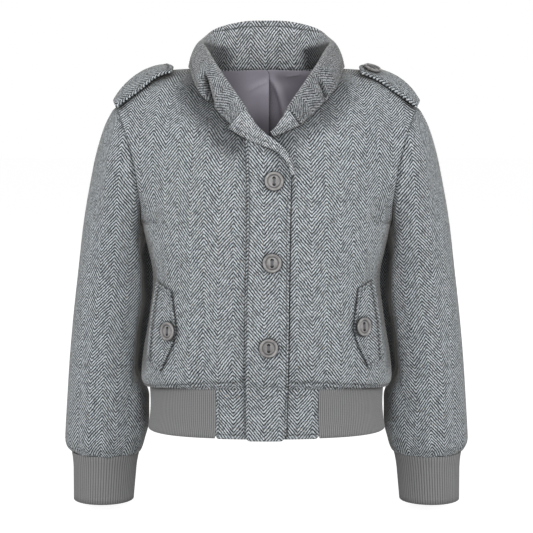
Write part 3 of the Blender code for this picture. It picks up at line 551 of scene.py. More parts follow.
def body_rows(side):
    """Curve controls of every body row of one half; side is -1 in front and 1 behind."""
    face = "front" if side < 0 else "back"
    names = ("z_" + face, "z_side", "half_width", face, "side_y")
    rows = []
    for z_middle, z_side, half, depth, side_y in zip(*(SECTIONS[name] for name in names)):
        start = np.array((0, depth, z_middle))
        end = np.array((half, side_y, z_side))
        first = start + (ROUNDNESS * half, 0, 0)
        second = end + (0, ROUNDNESS * (depth - side_y), 0)
        rows.append((start, first, second, end))
    centre, neck = (FRONT_CENTRE, NECK[9:2:-1]) if side < 0 else (BACK_CENTRE, NECK[:4])
    for row, start in enumerate(np.concatenate((np.array(centre) * MM, neck)), 1):
        share = row / ARM_ROWS
        end = sleeve_point(side * (share - 1) / 2, 0)
        chord = end - start
        reach = np.linalg.norm(chord)
        start_way = (1 - 0.1 * share, 0, 0) + unit(chord) * 0.1 * share
        if side > 0:
            start_way[2] -= BACK_DIPS.get(row, 0)
        first = start + unit(start_way) * reach * 0.5
        angle = math.pi * (1 - share)
        high = (1 + math.cos(angle)) / 2
        across = 0.35 * high + 0.75 * math.sin(angle)
        down = -0.94 * high + 0.25 * math.sin(angle)
        end_way = unit(np.array((across, -side * (1 - high), down)))
        second = end - end_way * reach * (0.34 + 0.06 * high)
        rows.append((start, first, second, end))
    return np.array(rows)


BODY = {-1: body_rows(-1), 1: body_rows(1)}


def body_point(side, across, level):
    """A point of the body; across runs from -1 (right side seam) to 1 (left side seam)."""
    across, level = same_shape(across, level)
    controls = along(BODY[side], level)
    side_seam = along(BODY[side][:UNDERARM_LEVEL + 1, 2:], np.minimum(level, UNDERARM_LEVEL))
    below = (level < UNDERARM_LEVEL)[..., None, None]
    controls[..., 2:, :] = np.where(below, side_seam, controls[..., 2:, :])
    corner = NECK_CORNER[side]
    starts = BODY[side][:, 0]
    centre_line = along(starts[:corner + 1], np.minimum(level, corner))
    neck_line = along(starts[corner:], np.maximum(level - corner, 0))
    controls[..., 0, :] = np.where((level < corner)[..., None], centre_line, neck_line)
    points = bezier(controls, np.abs(across))
    points[..., 0] *= np.where(across < 0, -1, 1)
    return points


def body_normal(side, across, level):
    """The outward direction of the body at a point."""
    across, level = same_shape(across, level)
    step = 1e-3
    least = np.where(level > NECK_CORNER[side] + step, 2 * step, 0)
    across = np.maximum(np.abs(across), least) * np.where(across < 0, -1, 1)
    high = np.minimum(level + step, TOP_LEVEL)
    along_row = body_point(side, across + step, level) - body_point(side, across - step, level)
    up_column = body_point(side, across, high) - body_point(side, across, level - step)
    return unit(np.cross(along_row, up_column)) * -side


def front_place(x, z):
    """Find the across and level values of the front at given x and z in metres."""
    x, z = same_shape(x, z)
    reach = np.abs(x)
    across = np.clip(reach / 0.3, 0.01, 0.95)
    fine = np.linspace(0, TOP_LEVEL - 0.01, FRONT_SAMPLES)
    heights = np.maximum.accumulate(body_point(-1, 0.05, fine)[:, 2])
    level = np.interp(z, heights, fine)
    step = 1e-4
    for _ in range(SEARCH_ROUNDS):
        here = body_point(-1, across, level)
        by_across = (body_point(-1, across + step, level) - here) / step
        by_level = (body_point(-1, across, level + step) - here) / step
        miss_x = reach - here[..., 0]
        miss_z = z - here[..., 2]
        spread = by_across[..., 0] * by_level[..., 2] - by_level[..., 0] * by_across[..., 2]
        move_across = (miss_x * by_level[..., 2] - miss_z * by_level[..., 0]) / spread
        move_level = (by_across[..., 0] * miss_z - by_across[..., 2] * miss_x) / spread
        across = np.clip(across + np.clip(move_across, -0.1, 0.1), 0, 0.999)
        level = np.clip(level + np.clip(move_level, -0.25, 0.25), -0.3, TOP_LEVEL - 0.01)
    return across * np.where(x < 0, -1.0, 1.0), level


def front_point(x, z, out):
    """A point of the front at given x and z, moved outward; below the hem it drops straight."""
    x, z, out = same_shape(x, z, out)
    least = BODY[-1][0, 0, 2] + 2 * MM
    across, level = front_place(x, np.maximum(z, least))
    points = body_point(-1, across, level) + body_normal(-1, across, level) * out[..., None]
    points[..., 2] += np.minimum(z - least, 0)
    return points


def across_at(x, level):
    """The across values of the front's rows at a given x, in metres."""
    parts = np.linspace(0, 1, 400)
    rows = [body_point(-1, parts, one)[:, 0] for one in level]
    return math.copysign(1, x) * np.array([np.interp(abs(x), row, parts) for row in rows])


# Meshes


def surface_normals(points):
    """Outward directions of a grid of points."""
    return unit(np.cross(np.gradient(points, axis=1), np.gradient(points, axis=0)))


def edge_order(shape):
    """Numbers of a grid's edge points, once round, and of their neighbours inside."""
    numbers = np.arange(shape[0] * shape[1]).reshape(shape)
    inside = np.pad(numbers[1:-1, 1:-1], 1, mode="edge")
    return [np.concatenate((grid[0, :], grid[1:, -1], grid[-1, -2::-1], grid[-2:0:-1, 0]))
            for grid in (numbers, inside)]


def grid_quads(shape):
    """Corner numbers of a grid's faces."""
    numbers = np.arange(shape[0] * shape[1]).reshape(shape)
    corners = (numbers[:-1, :-1], numbers[:-1, 1:], numbers[1:, 1:], numbers[1:, :-1])
    return stack(*(corner.ravel() for corner in corners))


def filled_mesh(name, points, faces):
    """A smooth mesh from lists of points and faces."""
    mesh = bpy.data.meshes.new(name)
    mesh.from_pydata(points, [], faces)
    mesh.shade_smooth()
    return mesh


def shell_mesh(name, outer, wall, weave, half=False):
    """A mesh of a cloth with rounded edges; weave holds the cloth's own coordinates in metres."""
    shape = outer.shape[:2]
    count = shape[0] * shape[1]
    ways = surface_normals(outer)
    centre = np.abs(outer[..., 0]) < ON_CENTRE
    if half:
        ways[centre, 0] = 0
    top = outer.reshape(-1, 3)
    under = (outer - unit(ways) * wall).reshape(-1, 3)
    edge, inside = edge_order(shape)
    middle = (top[edge] + under[edge]) / 2 + unit(top[edge] - top[inside]) * wall * EDGE_BULGE
    on_centre = half & centre.reshape(-1)[edge]
    middle[on_centre, 0] = 0
    quads = grid_quads(shape)
    ring = np.arange(len(edge)) + 2 * count
    after = np.roll(np.arange(len(edge)), -1)
    keep = ~(on_centre & on_centre[after])
    upper_rim = stack(edge[after], edge, ring, ring[after])[keep]
    lower_rim = stack(ring[after], ring, edge + count, edge[after] + count)[keep]
    faces = np.concatenate((quads, quads[:, ::-1] + count, upper_rim, lower_rim))
    mesh = filled_mesh(name, np.concatenate((top, under, middle)).tolist(), faces.tolist())
    flat = weave.reshape(-1, 2)
    coordinates = np.concatenate((flat, flat, flat[edge])).astype(np.float32)
    layer = mesh.uv_layers.new(name="weave")
    corners = np.empty(len(mesh.loops), dtype=np.int32)
    mesh.loops.foreach_get("vertex_index", corners)
    layer.data.foreach_set("uv", coordinates[corners].ravel())
    return mesh


def joined_mesh(name, meshes):
    """One mesh from several, with the points that lie together joined."""
    work = bmesh.new()
    for mesh in meshes:
        work.from_mesh(mesh)
        bpy.data.meshes.remove(mesh)
    bmesh.ops.remove_doubles(work, verts=work.verts[:], dist=JOIN_REACH)
    joined = bpy.data.meshes.new(name)
    work.to_mesh(joined)
    work.free()
    joined.shade_smooth()
    return joined


def add_object(name, data):
    """Add an object to the scene."""
    made = bpy.data.objects.new(name, data)
    bpy.context.scene.collection.objects.link(made)
    return made


def add_piece(name, mesh, look, nodes=()):
    """Add a mesh as a piece that stands for the given nodes; a look is a material and its slot, and the
    slot is not used.
    """
    made = add_object(name, mesh)
    material, slot = look
    mesh.materials.append(material)
    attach(made, "root")
    if nodes:
        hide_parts(*nodes)
    return made


def cloth_area(points):
    """Area of a grid of points."""
    first = np.cross(points[:-1, 1:] - points[:-1, :-1], points[1:, :-1] - points[:-1, :-1])
    second = np.cross(points[:-1, 1:] - points[1:, 1:], points[1:, :-1] - points[1:, 1:])
    return (np.linalg.norm(first, axis=-1).sum() + np.linalg.norm(second, axis=-1).sum()) / 2


def declare_sheet(made, points, halves=1):
    """Work out the flat cut of a piece's grid of points, its width, length and area, and keep none of it;
    the piece is not used.
    """
    width = halves * lengths(points, 1)[:, -1].max()
    length = lengths(points, 0)[-1].max()
    area = max(halves * cloth_area(points), LEAST_FILL * width * length)


def mark_mesh(mesh, name, shares):
    """Keep a share for each grid point of a shell, from 0 to 1: "dark" for painted shade, "band" in a hem.
    """
    flat = np.clip(shares, 0, 1).reshape(-1)
    values = np.concatenate((flat, flat, flat[edge_order(shares.shape)[0]]))
    layer = mesh.attributes.new(name, "FLOAT", "POINT")
    layer.data.foreach_set("value", values.astype(np.float32))


def add_cloth(node, points, weave, wall, look, height, dark=None, band=None, name=None):
    """Add a sheet of cloth for a node: a grid of points, raised by folds and sewing, with a wall."""
    name = name or node + "_cloth"
    outer = points + surface_normals(points) * height[..., None]
    mesh = shell_mesh(name, outer, wall, weave)
    for mark, shares in (("dark", dark), ("band", band)):
        if shares is not None:
            mark_mesh(mesh, mark, shares)
    declare_sheet(add_piece(name, mesh, look, (node,)), points)
    return outer


# Folds, sewing and shade on a grid of points


def creases(points, rows):
    """Height of soft folds laid along lines in the front view."""
    x = points[..., 0] / MM
    z = points[..., 2] / MM
    total = np.zeros(x.shape)
    for x_0, z_0, x_1, z_1, width, height in rows:
        run = math.hypot(x_1 - x_0, z_1 - z_0)
        way = ((x_1 - x_0) / run, (z_1 - z_0) / run)
        part = ((x - x_0) * way[0] + (z - z_0) * way[1]) / run
        off = (x - x_0) * way[1] - (z - z_0) * way[0]
        fade = np.clip(1 - np.abs(2 * part - 1) ** 3, 0, 1)
        total += height * fade * np.exp(-(off / width) ** 2)
    return total * MM


def under_shade(points, line, strength, near, far):
    """Shade that a piece above throws on the front, fading away from its outline, in mm."""
    corners = np.array(line, float)
    run = line_run(corners)
    outline = line_at(np.linspace(0, run[-1], 120), run, corners).T
    flat = points[..., (0, 2)] / MM
    away = np.min([np.linalg.norm(flat - spot, axis=-1) for spot in outline], axis=0)
    return strength * (1 - smooth(away, near, far))


def edge_distance(points, edges):
    """Distance of each grid point from the named edges, along the cloth."""
    rows = lengths(points, 1)
    columns = lengths(points, 0)
    tables = {"first": rows, "last": rows[:, -1:] - rows, "low": columns, "high": columns[-1:] - columns}
    return np.min([tables[edge] for edge in edges.split()], axis=0)


def seam_share(points, edges, inset, width):
    """Share of a narrow line that runs beside the named edges."""
    return np.exp(-((edge_distance(points, edges) - inset) / width) ** 2)


def seam_dark(points, name, side=""):
    """Shade of the dark lines along the seams of a kind of piece."""
    return darkest(*(strength * seam_share(points, edges.replace("side", side), inset, width)
                     for edges, inset, width, strength in SEAM_SHADE_LINES[name]))


def sewn_height(points, name, edges, inset):
    """Groove that a line of stitching leaves beside the named edges of a kind of piece."""
    return -GROOVE_DEPTH[name] * seam_share(points, edges, inset, GROOVE_WIDTH)


def stitched_band(points, name, edges, inset):
    """Share of the padded band between the named edges and their stitching."""
    return BAND[name] * (1 - smooth(edge_distance(points, edges), inset - 1.2 * MM, inset))


def button_shade(x, z, place, strength):
    """Shade round a button at a place in the front view."""
    reach = np.hypot(x - place[0] * MM, z - place[1] * MM)
    return strength * (1 - smooth(reach, BUTTON_RADIUS, BUTTON_RADIUS + 3 * MM))


def edge_line(points, edge, inset):
    """A line on a grid at a distance from one of its edges, with its outward directions."""
    tables = (points, surface_normals(points))
    if edge in ("first", "last"):
        tables = [grid.transpose(1, 0, 2) for grid in tables]
    if edge in ("high", "last"):
        tables = [grid[::-1] for grid in tables]
    run = lengths(tables[0], 0)
    line, outward = (np.array([line_at(inset, run[:, step], grid[:, step]) for step in range(run.shape[1])])
                     for grid in tables)
    return line, unit(outward)


STITCH_LINES = []


def sew(points, edges, inset, start=0.0, end=1.0):
    """Remember lines of stitching beside the named edges, between two shares of their length."""
    for edge in edges.split():
        line, ways = edge_line(points, edge, inset)
        first = int(round(start * (len(line) - 1)))
        last = int(round(end * (len(line) - 1))) + 1
        STITCH_LINES.append((line[first:last], ways[first:last]))


def grain(points, column, place, value):
    """Cloth coordinates across and along the grain, measured from one column, with a value at a place."""
    ways = surface_normals(points)
    up = unit((0, 0, 1.0) - ways * ways[..., 2:])
    side = np.cross(up, ways)
    row_steps = np.diff(points, axis=1)
    column_steps = np.diff(points[:, column], axis=0)
    values = []
    for field in (side, up):
        across = np.sum(row_steps * (field[:, 1:] + field[:, :-1]) / 2, axis=-1)
        across = np.concatenate((np.zeros((len(points), 1)), np.cumsum(across, axis=1)), axis=1)
        rising = np.sum(column_steps * (field[1:, column] + field[:-1, column]) / 2, axis=-1)
        rising = np.concatenate(((0,), np.cumsum(rising)))
        values.append(across - across[:, column:column + 1] + rising[:, None])
    weave = stack(*values)
    return weave + (np.array(value) - weave[place])


# Body panels and lining


def panel_levels(side, rows):
    """Body levels of a fine panel's rows, evenly spaced, with a row at the neck corner."""
    corner = NECK_CORNER[side]
    fine = np.linspace(HEM_LEVEL, TOP_LEVEL - 0.012, PANEL_SAMPLES)
    run = np.mean([line_run(body_point(side, part, fine)) for part in (0.2, 0.6)], axis=0)
    turn = np.interp(corner, fine, run)
    lower = int(round(rows * turn / run[-1]))
    upper = np.linspace(turn, run[-1], rows - lower + 1)[1:]
    stops = np.concatenate((np.linspace(0, turn, lower + 1), upper))
    levels = np.interp(stops, run, fine)
    levels[lower] = corner
    return levels


def hem_weave(weave, points, level):
    """Let the weave run on evenly where the cloth turns under at the hem, and closer by the neck."""
    turn = int(np.searchsorted(level, HEM_TURN))
    run = lengths(points, 0)
    result = weave.copy()
    result[:turn, :, 0] = weave[turn, :, 0]
    result[:turn, :, 1] = weave[turn, :, 1] - (run[turn] - run[:turn])
    result[..., 1] += NECK_TIGHT * np.maximum(0, points[..., 2] + NECK_TIGHT_DROP)
    return result


def armhole_height(points, level, edge):
    """Turned edge that stands up beside the armhole seam."""
    beside = smooth(level, UNDERARM_LEVEL + 0.5, UNDERARM_LEVEL + 1.5)[:, None]
    return 0.8 * MM * seam_share(points, edge, 2 * MM, 3 * MM) * beside


def side_dark(points):
    """Shade on the body's side, where the sleeve hangs close to it."""
    away = np.abs(surface_normals(points)[..., 0])
    beside = between(-points[..., 2], 205 * MM, 240 * MM, 400 * MM, 432 * MM)
    return 0.85 * smooth(away, 0.86, 0.99) * beside


def placket_dark(points):
    """Shade of the step beside the placket, on what it lies on."""
    past = (points[..., 0] - placket_edge("left_edge", points[..., 2])) / MM
    return 0.9 * between(past, -1.5, 0.2, 1.6, 4.0)


def hem_height(points):
    """Thick folded hem edge with a stitched groove above it."""
    distance = edge_distance(points, "low")
    fold = 0.7 * MM * (1 - smooth(distance, HEM_STITCH - 1 * MM, HEM_STITCH + 2 * MM))
    return fold - 1.0 * MM * seam_share(points, "low", HEM_STITCH, 1.6 * MM)


def add_front(side, across, level, inner, column, shade, sewn, tweed):
    """One front, from the hem seam to the shoulder seam; inner is its column beside the placket."""
    points = body_point(-1, across, level[:, None])
    weave = hem_weave(grain(points, column, (0, inner), (points[0, inner, 0], 0)), points, level)
    outside = "first" if side == "right" else "last"
    height = creases(points, FRONT_CREASES) + hem_height(points) + armhole_height(points, level, outside)
    dark = darkest(under_shade(points, *shade), seam_dark(points, "front"), side_dark(points))
    if side == "left":
        lapped = smooth(-points[..., 2], 118 * MM, 135 * MM)
        dark = darkest(dark, lapped * placket_dark(points))
    band = stitched_band(points, "front", "low", HEM_STITCH)
    outer = add_cloth("front_" + side, points, weave, CLOTH_WALL, tweed, height, dark, band)
    sew(outer, "low", HEM_STITCH, *sewn)


def add_fronts(tweed):
    """Right and left fronts; the left one has finer columns beside the placket's edge."""
    level = panel_levels(-1, FRONT_GRID[1])
    end = np.maximum(across_at(RIGHT_FRONT_EDGE * MM, level), 1e-6)[:, None]
    across = -(SIDE_END + (end - SIDE_END) * np.linspace(0, 1, FRONT_GRID[0] + 1))
    add_front("right", across, level, -1, 40, RIGHT_SHADE, (0.0, 0.95), tweed)

    low = np.minimum(level, LAPPED_LEVEL)
    lapped = np.clip((LAPPED_LEVEL + 1 - level) / 2.0, 0, 1)
    start = (across_at(LEFT_FRONT_EDGE * MM, low) * lapped)[:, None]
    edge = across_at(PLACKET["left_edge"][2], low)[:, None]
    near, far = (edge * share for share in FINE_COLUMNS)
    under, fine, rest = (np.linspace(0, 1, count + 1) for count in LEFT_COLUMNS)
    stops = (start + (near - start) * under[:-1], near + (far - near) * fine[:-1],
             far + (SIDE_END - far) * rest)
    add_front("left", np.concatenate(stops, axis=1), level, 0, 45, LEFT_SHADE, (0.28, 1.0), tweed)


def add_back(tweed):
    """Back in one piece, its halves alike in form, with folds of its own on each half."""
    columns, rows = BACK_GRID
    level = panel_levels(1, rows)
    points = body_point(1, SIDE_END * (1 - np.linspace(0, 1, columns + 1)), level[:, None])
    weave = hem_weave(grain(points, 40, (0, columns), (0, 0)), points, level)
    meshes = []
    for sign in (1, -1):
        half = (points * (sign, 1, 1))[:, ::sign]
        ways = surface_normals(half)
        ways[np.abs(half[..., 0]) < ON_CENTRE, 0] = 0
        height = creases(half, BACK_CREASES) + hem_height(half)
        outer = half + unit(ways) * height[..., None]
        half_weave = (weave * (sign, 1))[:, ::sign]
        meshes.append(shell_mesh("back_half", outer, CLOTH_WALL, half_weave, half=True))
        sew(outer, "low", HEM_STITCH)
    made = add_piece("back_cloth", joined_mesh("back_cloth", meshes), tweed, ("back",))
    declare_sheet(made, points, 2)


def calm_depth(points):
    """Depth of the lining: one calm curve in front of the back's cloth where it shows."""
    x = np.abs(points[..., 0]) / (100 * MM)
    z = points[..., 2] / (100 * MM)
    depth = points[..., 1]
    powers = ((0, 0), (2, 0), (4, 0), (0, 1), (0, 2), (0, 3), (2, 1), (2, 2))
    terms = stack(*(x ** by_x * z ** by_z for by_x, by_z in powers))
    shown = (x < 0.72) & (z > -1.4)
    calm = terms @ np.linalg.lstsq(terms[shown], depth[shown], rcond=None)[0]
    calm -= max(0.0, (calm - depth)[shown].max())
    return depth + (calm - depth) * (1 - smooth(x, 0.66, 0.8)) * smooth(z, -1.5, -1.2)


def add_lining(satin):
    """Back lining in two halves that fold over each other in a pleat at the centre back."""
    columns, rows = LINING_GRID
    level = panel_levels(1, rows)
    level = level[level > LINING_LEVEL]
    shown = body_point(1, 0.2, level)[:, 2] > LINING_SHOWN
    level = level[shown | (np.arange(len(level)) % HIDDEN_STEP == 0)][:, None]
    across = SIDE_END * LINING_REACH * (1 - np.linspace(0, 1, columns + 1) ** 0.8)
    half = body_point(1, across, level) - body_normal(1, across, level) * (CLOTH_SOLID + 2 * LAY_GAP)
    half[..., 0] = np.maximum(half[..., 0], 0)
    half[..., 1] = calm_depth(half)
    # Painted shade on the lining: more further down, on the right half away from the pleat, and on the left
    # half on both sides of the pleat's curved edge, most beyond it
    drop = -half[..., 2]
    low = smooth(drop, 10 * MM, 42 * MM)
    deep = 0.55 * smooth(drop, 45 * MM, 92 * MM)
    for side, sign in SIDES:
        points = half * (sign, 1, 1)
        if side == "right":
            near = 1 - smooth(-points[..., 0], 0, 45 * MM)
            points[..., 0] += PLEAT_LAP * near * smooth(drop, 3 * MM, 12 * MM)
            points[..., 1] -= (1.2 + 8.0 * low) * MM * near
            dark = darkest(deep, 0.3 * smooth(-points[..., 0], 18 * MM, 52 * MM))
        else:
            past = points[..., 0] - np.interp(drop, *(np.array(PLEAT_CURVE).T * MM))
            points[..., 1] -= 8.5 * MM * between(past, -2.5 * MM, 1.5 * MM, 3 * MM, 40 * MM) * low
            behind = 0.45 * smooth(past, 1 * MM, 16 * MM) * smooth(drop, 2 * MM, 16 * MM)
            dark = darkest(deep, behind, 0.12 * (1 - smooth(past, -7 * MM, 0)) * low)
        points = points[:, ::-sign]
        add_cloth("lining_back", points, points[..., (0, 2)], LINING_WALL, satin,
                  -creases(points, LINING_CREASES), dark[:, ::-sign], name="lining_back_" + side)


# Knitted hem and cuffs


def rib_height(columns, ribs):
    """Rounded ridges with narrow valleys, given column shares and a number of ribs."""
    return (np.abs(np.sin(math.pi * ribs * columns)) ** 0.7 - 1) * RIB_DEPTH


def ring_turn(turn, level):
    """A point round the whole body; turn 0 is centre front, 2 centre back, left side first."""
    front = (turn < 1) | (turn >= 3)
    across_front = np.where(turn < 1, turn, turn - 4)
    return np.where(front[..., None], body_point(-1, across_front, level), body_point(1, 2 - turn, level))


def hem_turn(x):
    """The turn value of the front hem at a given x in metres."""
    across = float(across_at(abs(x), (1.0,))[0])
    return across if x > 0 else 4 - across


def add_hem_rib(knit):
    """Knitted hem band from tab round the back to tab."""
    fine = np.linspace(hem_turn(TAB_EDGES["left"][1] * MM + SEAM_GAP),
                       hem_turn(TAB_EDGES["right"][0] * MM - SEAM_GAP), RIB_SAMPLES)
    line = ring_turn(fine, 1.0)
    ribs = int(round(line_run(line)[-1] / HEM_RIB_PITCH))
    turn = even_places(line, fine, HEM_RIB_STEPS * ribs)
    column_share, row_share = grid_shares(HEM_RIB_STEPS * ribs, KNIT_ROWS)
    level = row_share * (HEM_LEVEL - RIB_TOP_GAP)
    points = ring_turn(np.broadcast_to(turn, level.shape), level)
    weave = stack(column_share * ribs, lengths(points, 0))
    add_cloth("hem_rib", points, weave, RIB_WALL, knit, rib_height(column_share, ribs))


def add_cuff(side, sign, knit):
    """Knitted cuff tube, its seam on the inside of the arm."""
    girth = math.pi * (CUFF["half_width"].mean() + CUFF["half_depth"].mean())
    ribs = int(round(girth / CUFF_RIB_PITCH))
    column_share, row_share = grid_shares(CUFF_RIB_STEPS * ribs, KNIT_ROWS)
    angle = 2 * math.pi * column_share - math.pi / 2
    fall = 1 - row_share
    z, middle, wide, deep = (top + (bottom - top) * fall for top, bottom in CUFF.values())
    flare = CUFF_FLARE * np.clip(1 - fall / 0.35, 0, 1) ** 2
    x = middle + (wide + flare) * np.sin(angle)
    y = CUFF_MIDDLE_Y - (deep + flare) * np.cos(angle)
    points = stack(sign * x, y, z)[:, ::sign]
    weave = stack(column_share * ribs, z - z.min())
    add_cloth("cuff_" + side, points, weave, RIB_WALL, knit, rib_height(column_share, ribs))


# Sleeves


def sleeve_weave(points):
    """Cloth coordinates of the left sleeve: round its middle line, and up along it."""
    rings = np.linspace(3, len(SLEEVE_RINGS) - 1, 60)
    middle = (sleeve_point(1.0, rings) + sleeve_point(0.5, rings)) / 2
    middle = np.concatenate((np.array((SLEEVE_TOP,)) * MM, middle))[::-1]
    middle_x, middle_y = (np.interp(points[..., 2], middle[:, 2], middle[:, axis]) for axis in (0, 1))
    angle = np.unwrap(np.arctan2(points[..., 0] - middle_x, middle_y - points[..., 1]), axis=1)
    front = SLEEVE_GRID[0] * 3 // 4
    angle -= 2 * math.pi * np.round(angle[:, front:front + 1] / (2 * math.pi))
    return stack(-angle * SLEEVE_RADIUS, -points @ SLEEVE_WAY)


def sleeve_hollow(turn, ring):
    """How far the inside of the left sleeve falls away from the body, in metres along x."""
    part = turn % 1
    in_front = between(part, 0.35, 0.46, 0.50, 0.60)
    behind = between(part, 0.53, 0.60, 0.62, 0.70)
    inside = between(part, 0.34, 0.46, 0.54, 0.66)
    high = between(ring, 2.6, 4.6, 7.9, 8.9)
    low = between(ring, 8.2, 9.0, 9.4, 10.6)
    return ((17 * in_front - 8 * behind) * high - 4 * inside * low) * MM


def add_sleeve(side, sign, tweed):
    """Full sleeve from the armhole seam to the cuff seam, its own seam on the inside."""
    columns, rows = SLEEVE_GRID
    fine = np.linspace(0.035, len(SLEEVE_RINGS) - 1, SLEEVE_SAMPLES)
    places = even_places(sleeve_point(0.25, fine), fine, rows)
    turn, ring = np.meshgrid(np.linspace(0.5, 1.5, columns + 1), places)
    points = sleeve_point(turn, ring)
    weave = sleeve_weave(points)[:, ::sign]
    points[..., 0] += sleeve_hollow(turn, ring)
    points = (points * (sign, 1, 1))[:, ::sign]
    turn = turn[:, ::sign]
    in_front = smooth(-surface_normals(points)[..., 1], -0.15, 0.4)
    on_left = points * (sign, 1, 1)
    folds = creases(on_left - (0, 0, SLEEVE_DROP[side] * MM), SLEEVE_CREASES)
    behind = creases(on_left + (0, 0, BEHIND_DROP), SLEEVE_CREASES)
    height = folds * in_front + behind * (1 - in_front)
    height -= SEAM_STEP * (1 - smooth(edge_distance(points, "low"), 1 * MM, 10 * MM))
    swing = np.sin(turn * 2 * math.pi * 17 + 1.3 * np.sin(turn * 2 * math.pi * 3 + sign))
    height += 0.9 * MM * between(ring, 9.2, 12.0, 12.3, 13.0) * swing
    # Painted shade on the inside of the sleeve, where it hangs close to the body
    inside = 1 - smooth(np.abs((turn % 1) - 0.5), 0.02, 0.13)
    dark = 0.85 * inside * between(ring, 2.5, 4.5, 8.5, 10.5)
    add_cloth("sleeve_" + side, points, weave, CLOTH_WALL, tweed, height, dark,
              BAND["sleeve"] * smooth(ring, 12.0, 12.6))


# Collar and lapels


def roll_controls(sections, first, out_shift):
    """Curve controls of collar or lapel sections on the left half of the neck line."""
    faces = np.radians([row[3] for row in NECK_LINE.values()])
    ways = unit(np.gradient(NECK, axis=0))
    facing = stack(np.sin(faces), -np.cos(faces), np.zeros(len(faces)))
    rise = unit(np.cross(ways, facing))
    out = unit(np.cross(rise, ways))
    controls = []
    for station, row in enumerate(sections.values(), first):
        shift = np.interp(station, (GORGE, GORGE + 1), (0, out_shift))
        root = NECK[station] + rise[station] * 1.5 * SEAM_GAP + out[station] * shift
        reach = np.array(row, float).reshape(3, 2) * MM
        controls.append([root] + [root + rise[station] * up + out[station] * away for up, away in reach])
    return np.array(controls)


def pinch_share(points, line, width):
    """Share of a pinch's depth at each point; the pinch deepens along its line."""
    share = np.zeros(points.shape[:2])
    for spot, part in zip(line, np.linspace(0, 1, len(line))):
        off = np.linalg.norm(points - spot, axis=-1)
        share = np.maximum(share, np.exp(-(off / width) ** 2) * smooth(part, -0.1, 0.4))
    return share


def add_collar(tweed):
    """Stand collar with both front ends rolled outward and pinched."""
    half = roll_controls(COLLAR_SECTIONS, 0, 0.0)
    rows = np.concatenate((half[:0:-1] * (-1, 1, 1), half))
    middle = len(half) - 1
    fine = np.linspace(0.012, 2 * middle - 0.012, COLLAR_SAMPLES)
    line = bezier(along(rows, fine), 0.6)
    places = even_places(line, fine, COLLAR_GRID[0])
    stations, steps = np.meshgrid(places, np.linspace(0, 1, COLLAR_GRID[1] + 1))
    points = bezier(along(rows, stations), steps)
    column_share = grid_shares(*COLLAR_GRID)[0]
    weave = stack((column_share - 0.5) * line_run(line)[-1] + STRIPE, lengths(points, 0))
    folds = np.zeros(steps.shape)
    for side, station_0, step_0, station_1, step_1, width, depth in PINCHES:
        pinched = along(rows, middle + side * np.linspace(station_0, station_1, PINCH_SPOTS))
        line = bezier(pinched, np.linspace(step_0, step_1, PINCH_SPOTS))
        folds -= depth * MM * pinch_share(points, line, width * MM)
    on_left = stations > middle
    wall = smooth(np.abs(points[..., 0]), 40 * MM, 60 * MM)
    wall *= (1 - smooth(points[..., 2], 36 * MM, 54 * MM)) * (1 - smooth(steps, 0.34, 0.46))
    turned = smooth(np.abs(stations - middle), 2.0, 2.8) * smooth(steps, 0.42, 0.62)
    weave[..., 1] += 0.3 * turned * (weave[..., 1] - 40 * MM)
    # Painted shade: on the inner walls of the stand, more on the left, on the turned-out ends, along the
    # stitching and in the pinches
    dark = darkest(wall * np.where(on_left, 0.86, 0.7), turned * np.where(on_left, 0.38, 0.28),
                   seam_dark(points, "collar"), -folds / PINCH_DARK)
    sewn = sewn_height(points, "collar", "low high", COLLAR_STITCH)
    outer = add_cloth("collar", points, weave, COLLAR_WALL, tweed, folds + sewn, dark,
                      BAND["collar"] * turned)
    sew(outer, "high", COLLAR_STITCH)


def add_lapel(side, sign, sections, last, out_shift, tweed):
    """Turned-out front corner below the collar."""
    columns, rows = LAPEL_GRID
    controls = roll_controls(sections, GORGE, out_shift)
    station, steps = np.meshgrid(np.linspace(0.015, last, columns + 1), np.linspace(0, 1, rows + 1))
    points = (bezier(along(controls, station), steps) * (sign, 1, 1))[:, ::sign]
    dark = seam_dark(points, "lapel")
    outer = add_cloth("lapel_" + side, points, points[..., (0, 2)] * LAPEL_CLOSER, LAPEL_WALL, tweed,
                      sewn_height(points, "lapel", "high", COLLAR_STITCH), dark,
                      np.full(dark.shape, BAND["lapel"]))
    sew(outer, "high", COLLAR_STITCH)


# Placket, tabs, flaps and epaulettes


def placket_edge(name, z):
    """A placket edge's x at given heights."""
    return np.interp(z, PLACKET["z"], PLACKET[name])


def placket_top(x):
    """Height of the placket's slanting top edge under the lapel, at given x."""
    neck = NECK[:GORGE - 1:-1]
    tuck = PLACKET_TUCK * np.clip((-x - 6 * MM) / (16 * MM), 0, 1)
    return np.interp(-x, neck[:, 0], neck[:, 2]) - 3 * SEAM_GAP - tuck


def rounded_corner(away):
    """How far a rounded bottom edge rises at given distances from its corner."""
    short = np.clip(1 - away / CORNER_RADIUS, 0, 1)
    return CORNER_RADIUS * (1 - np.sqrt(1 - short ** 2))


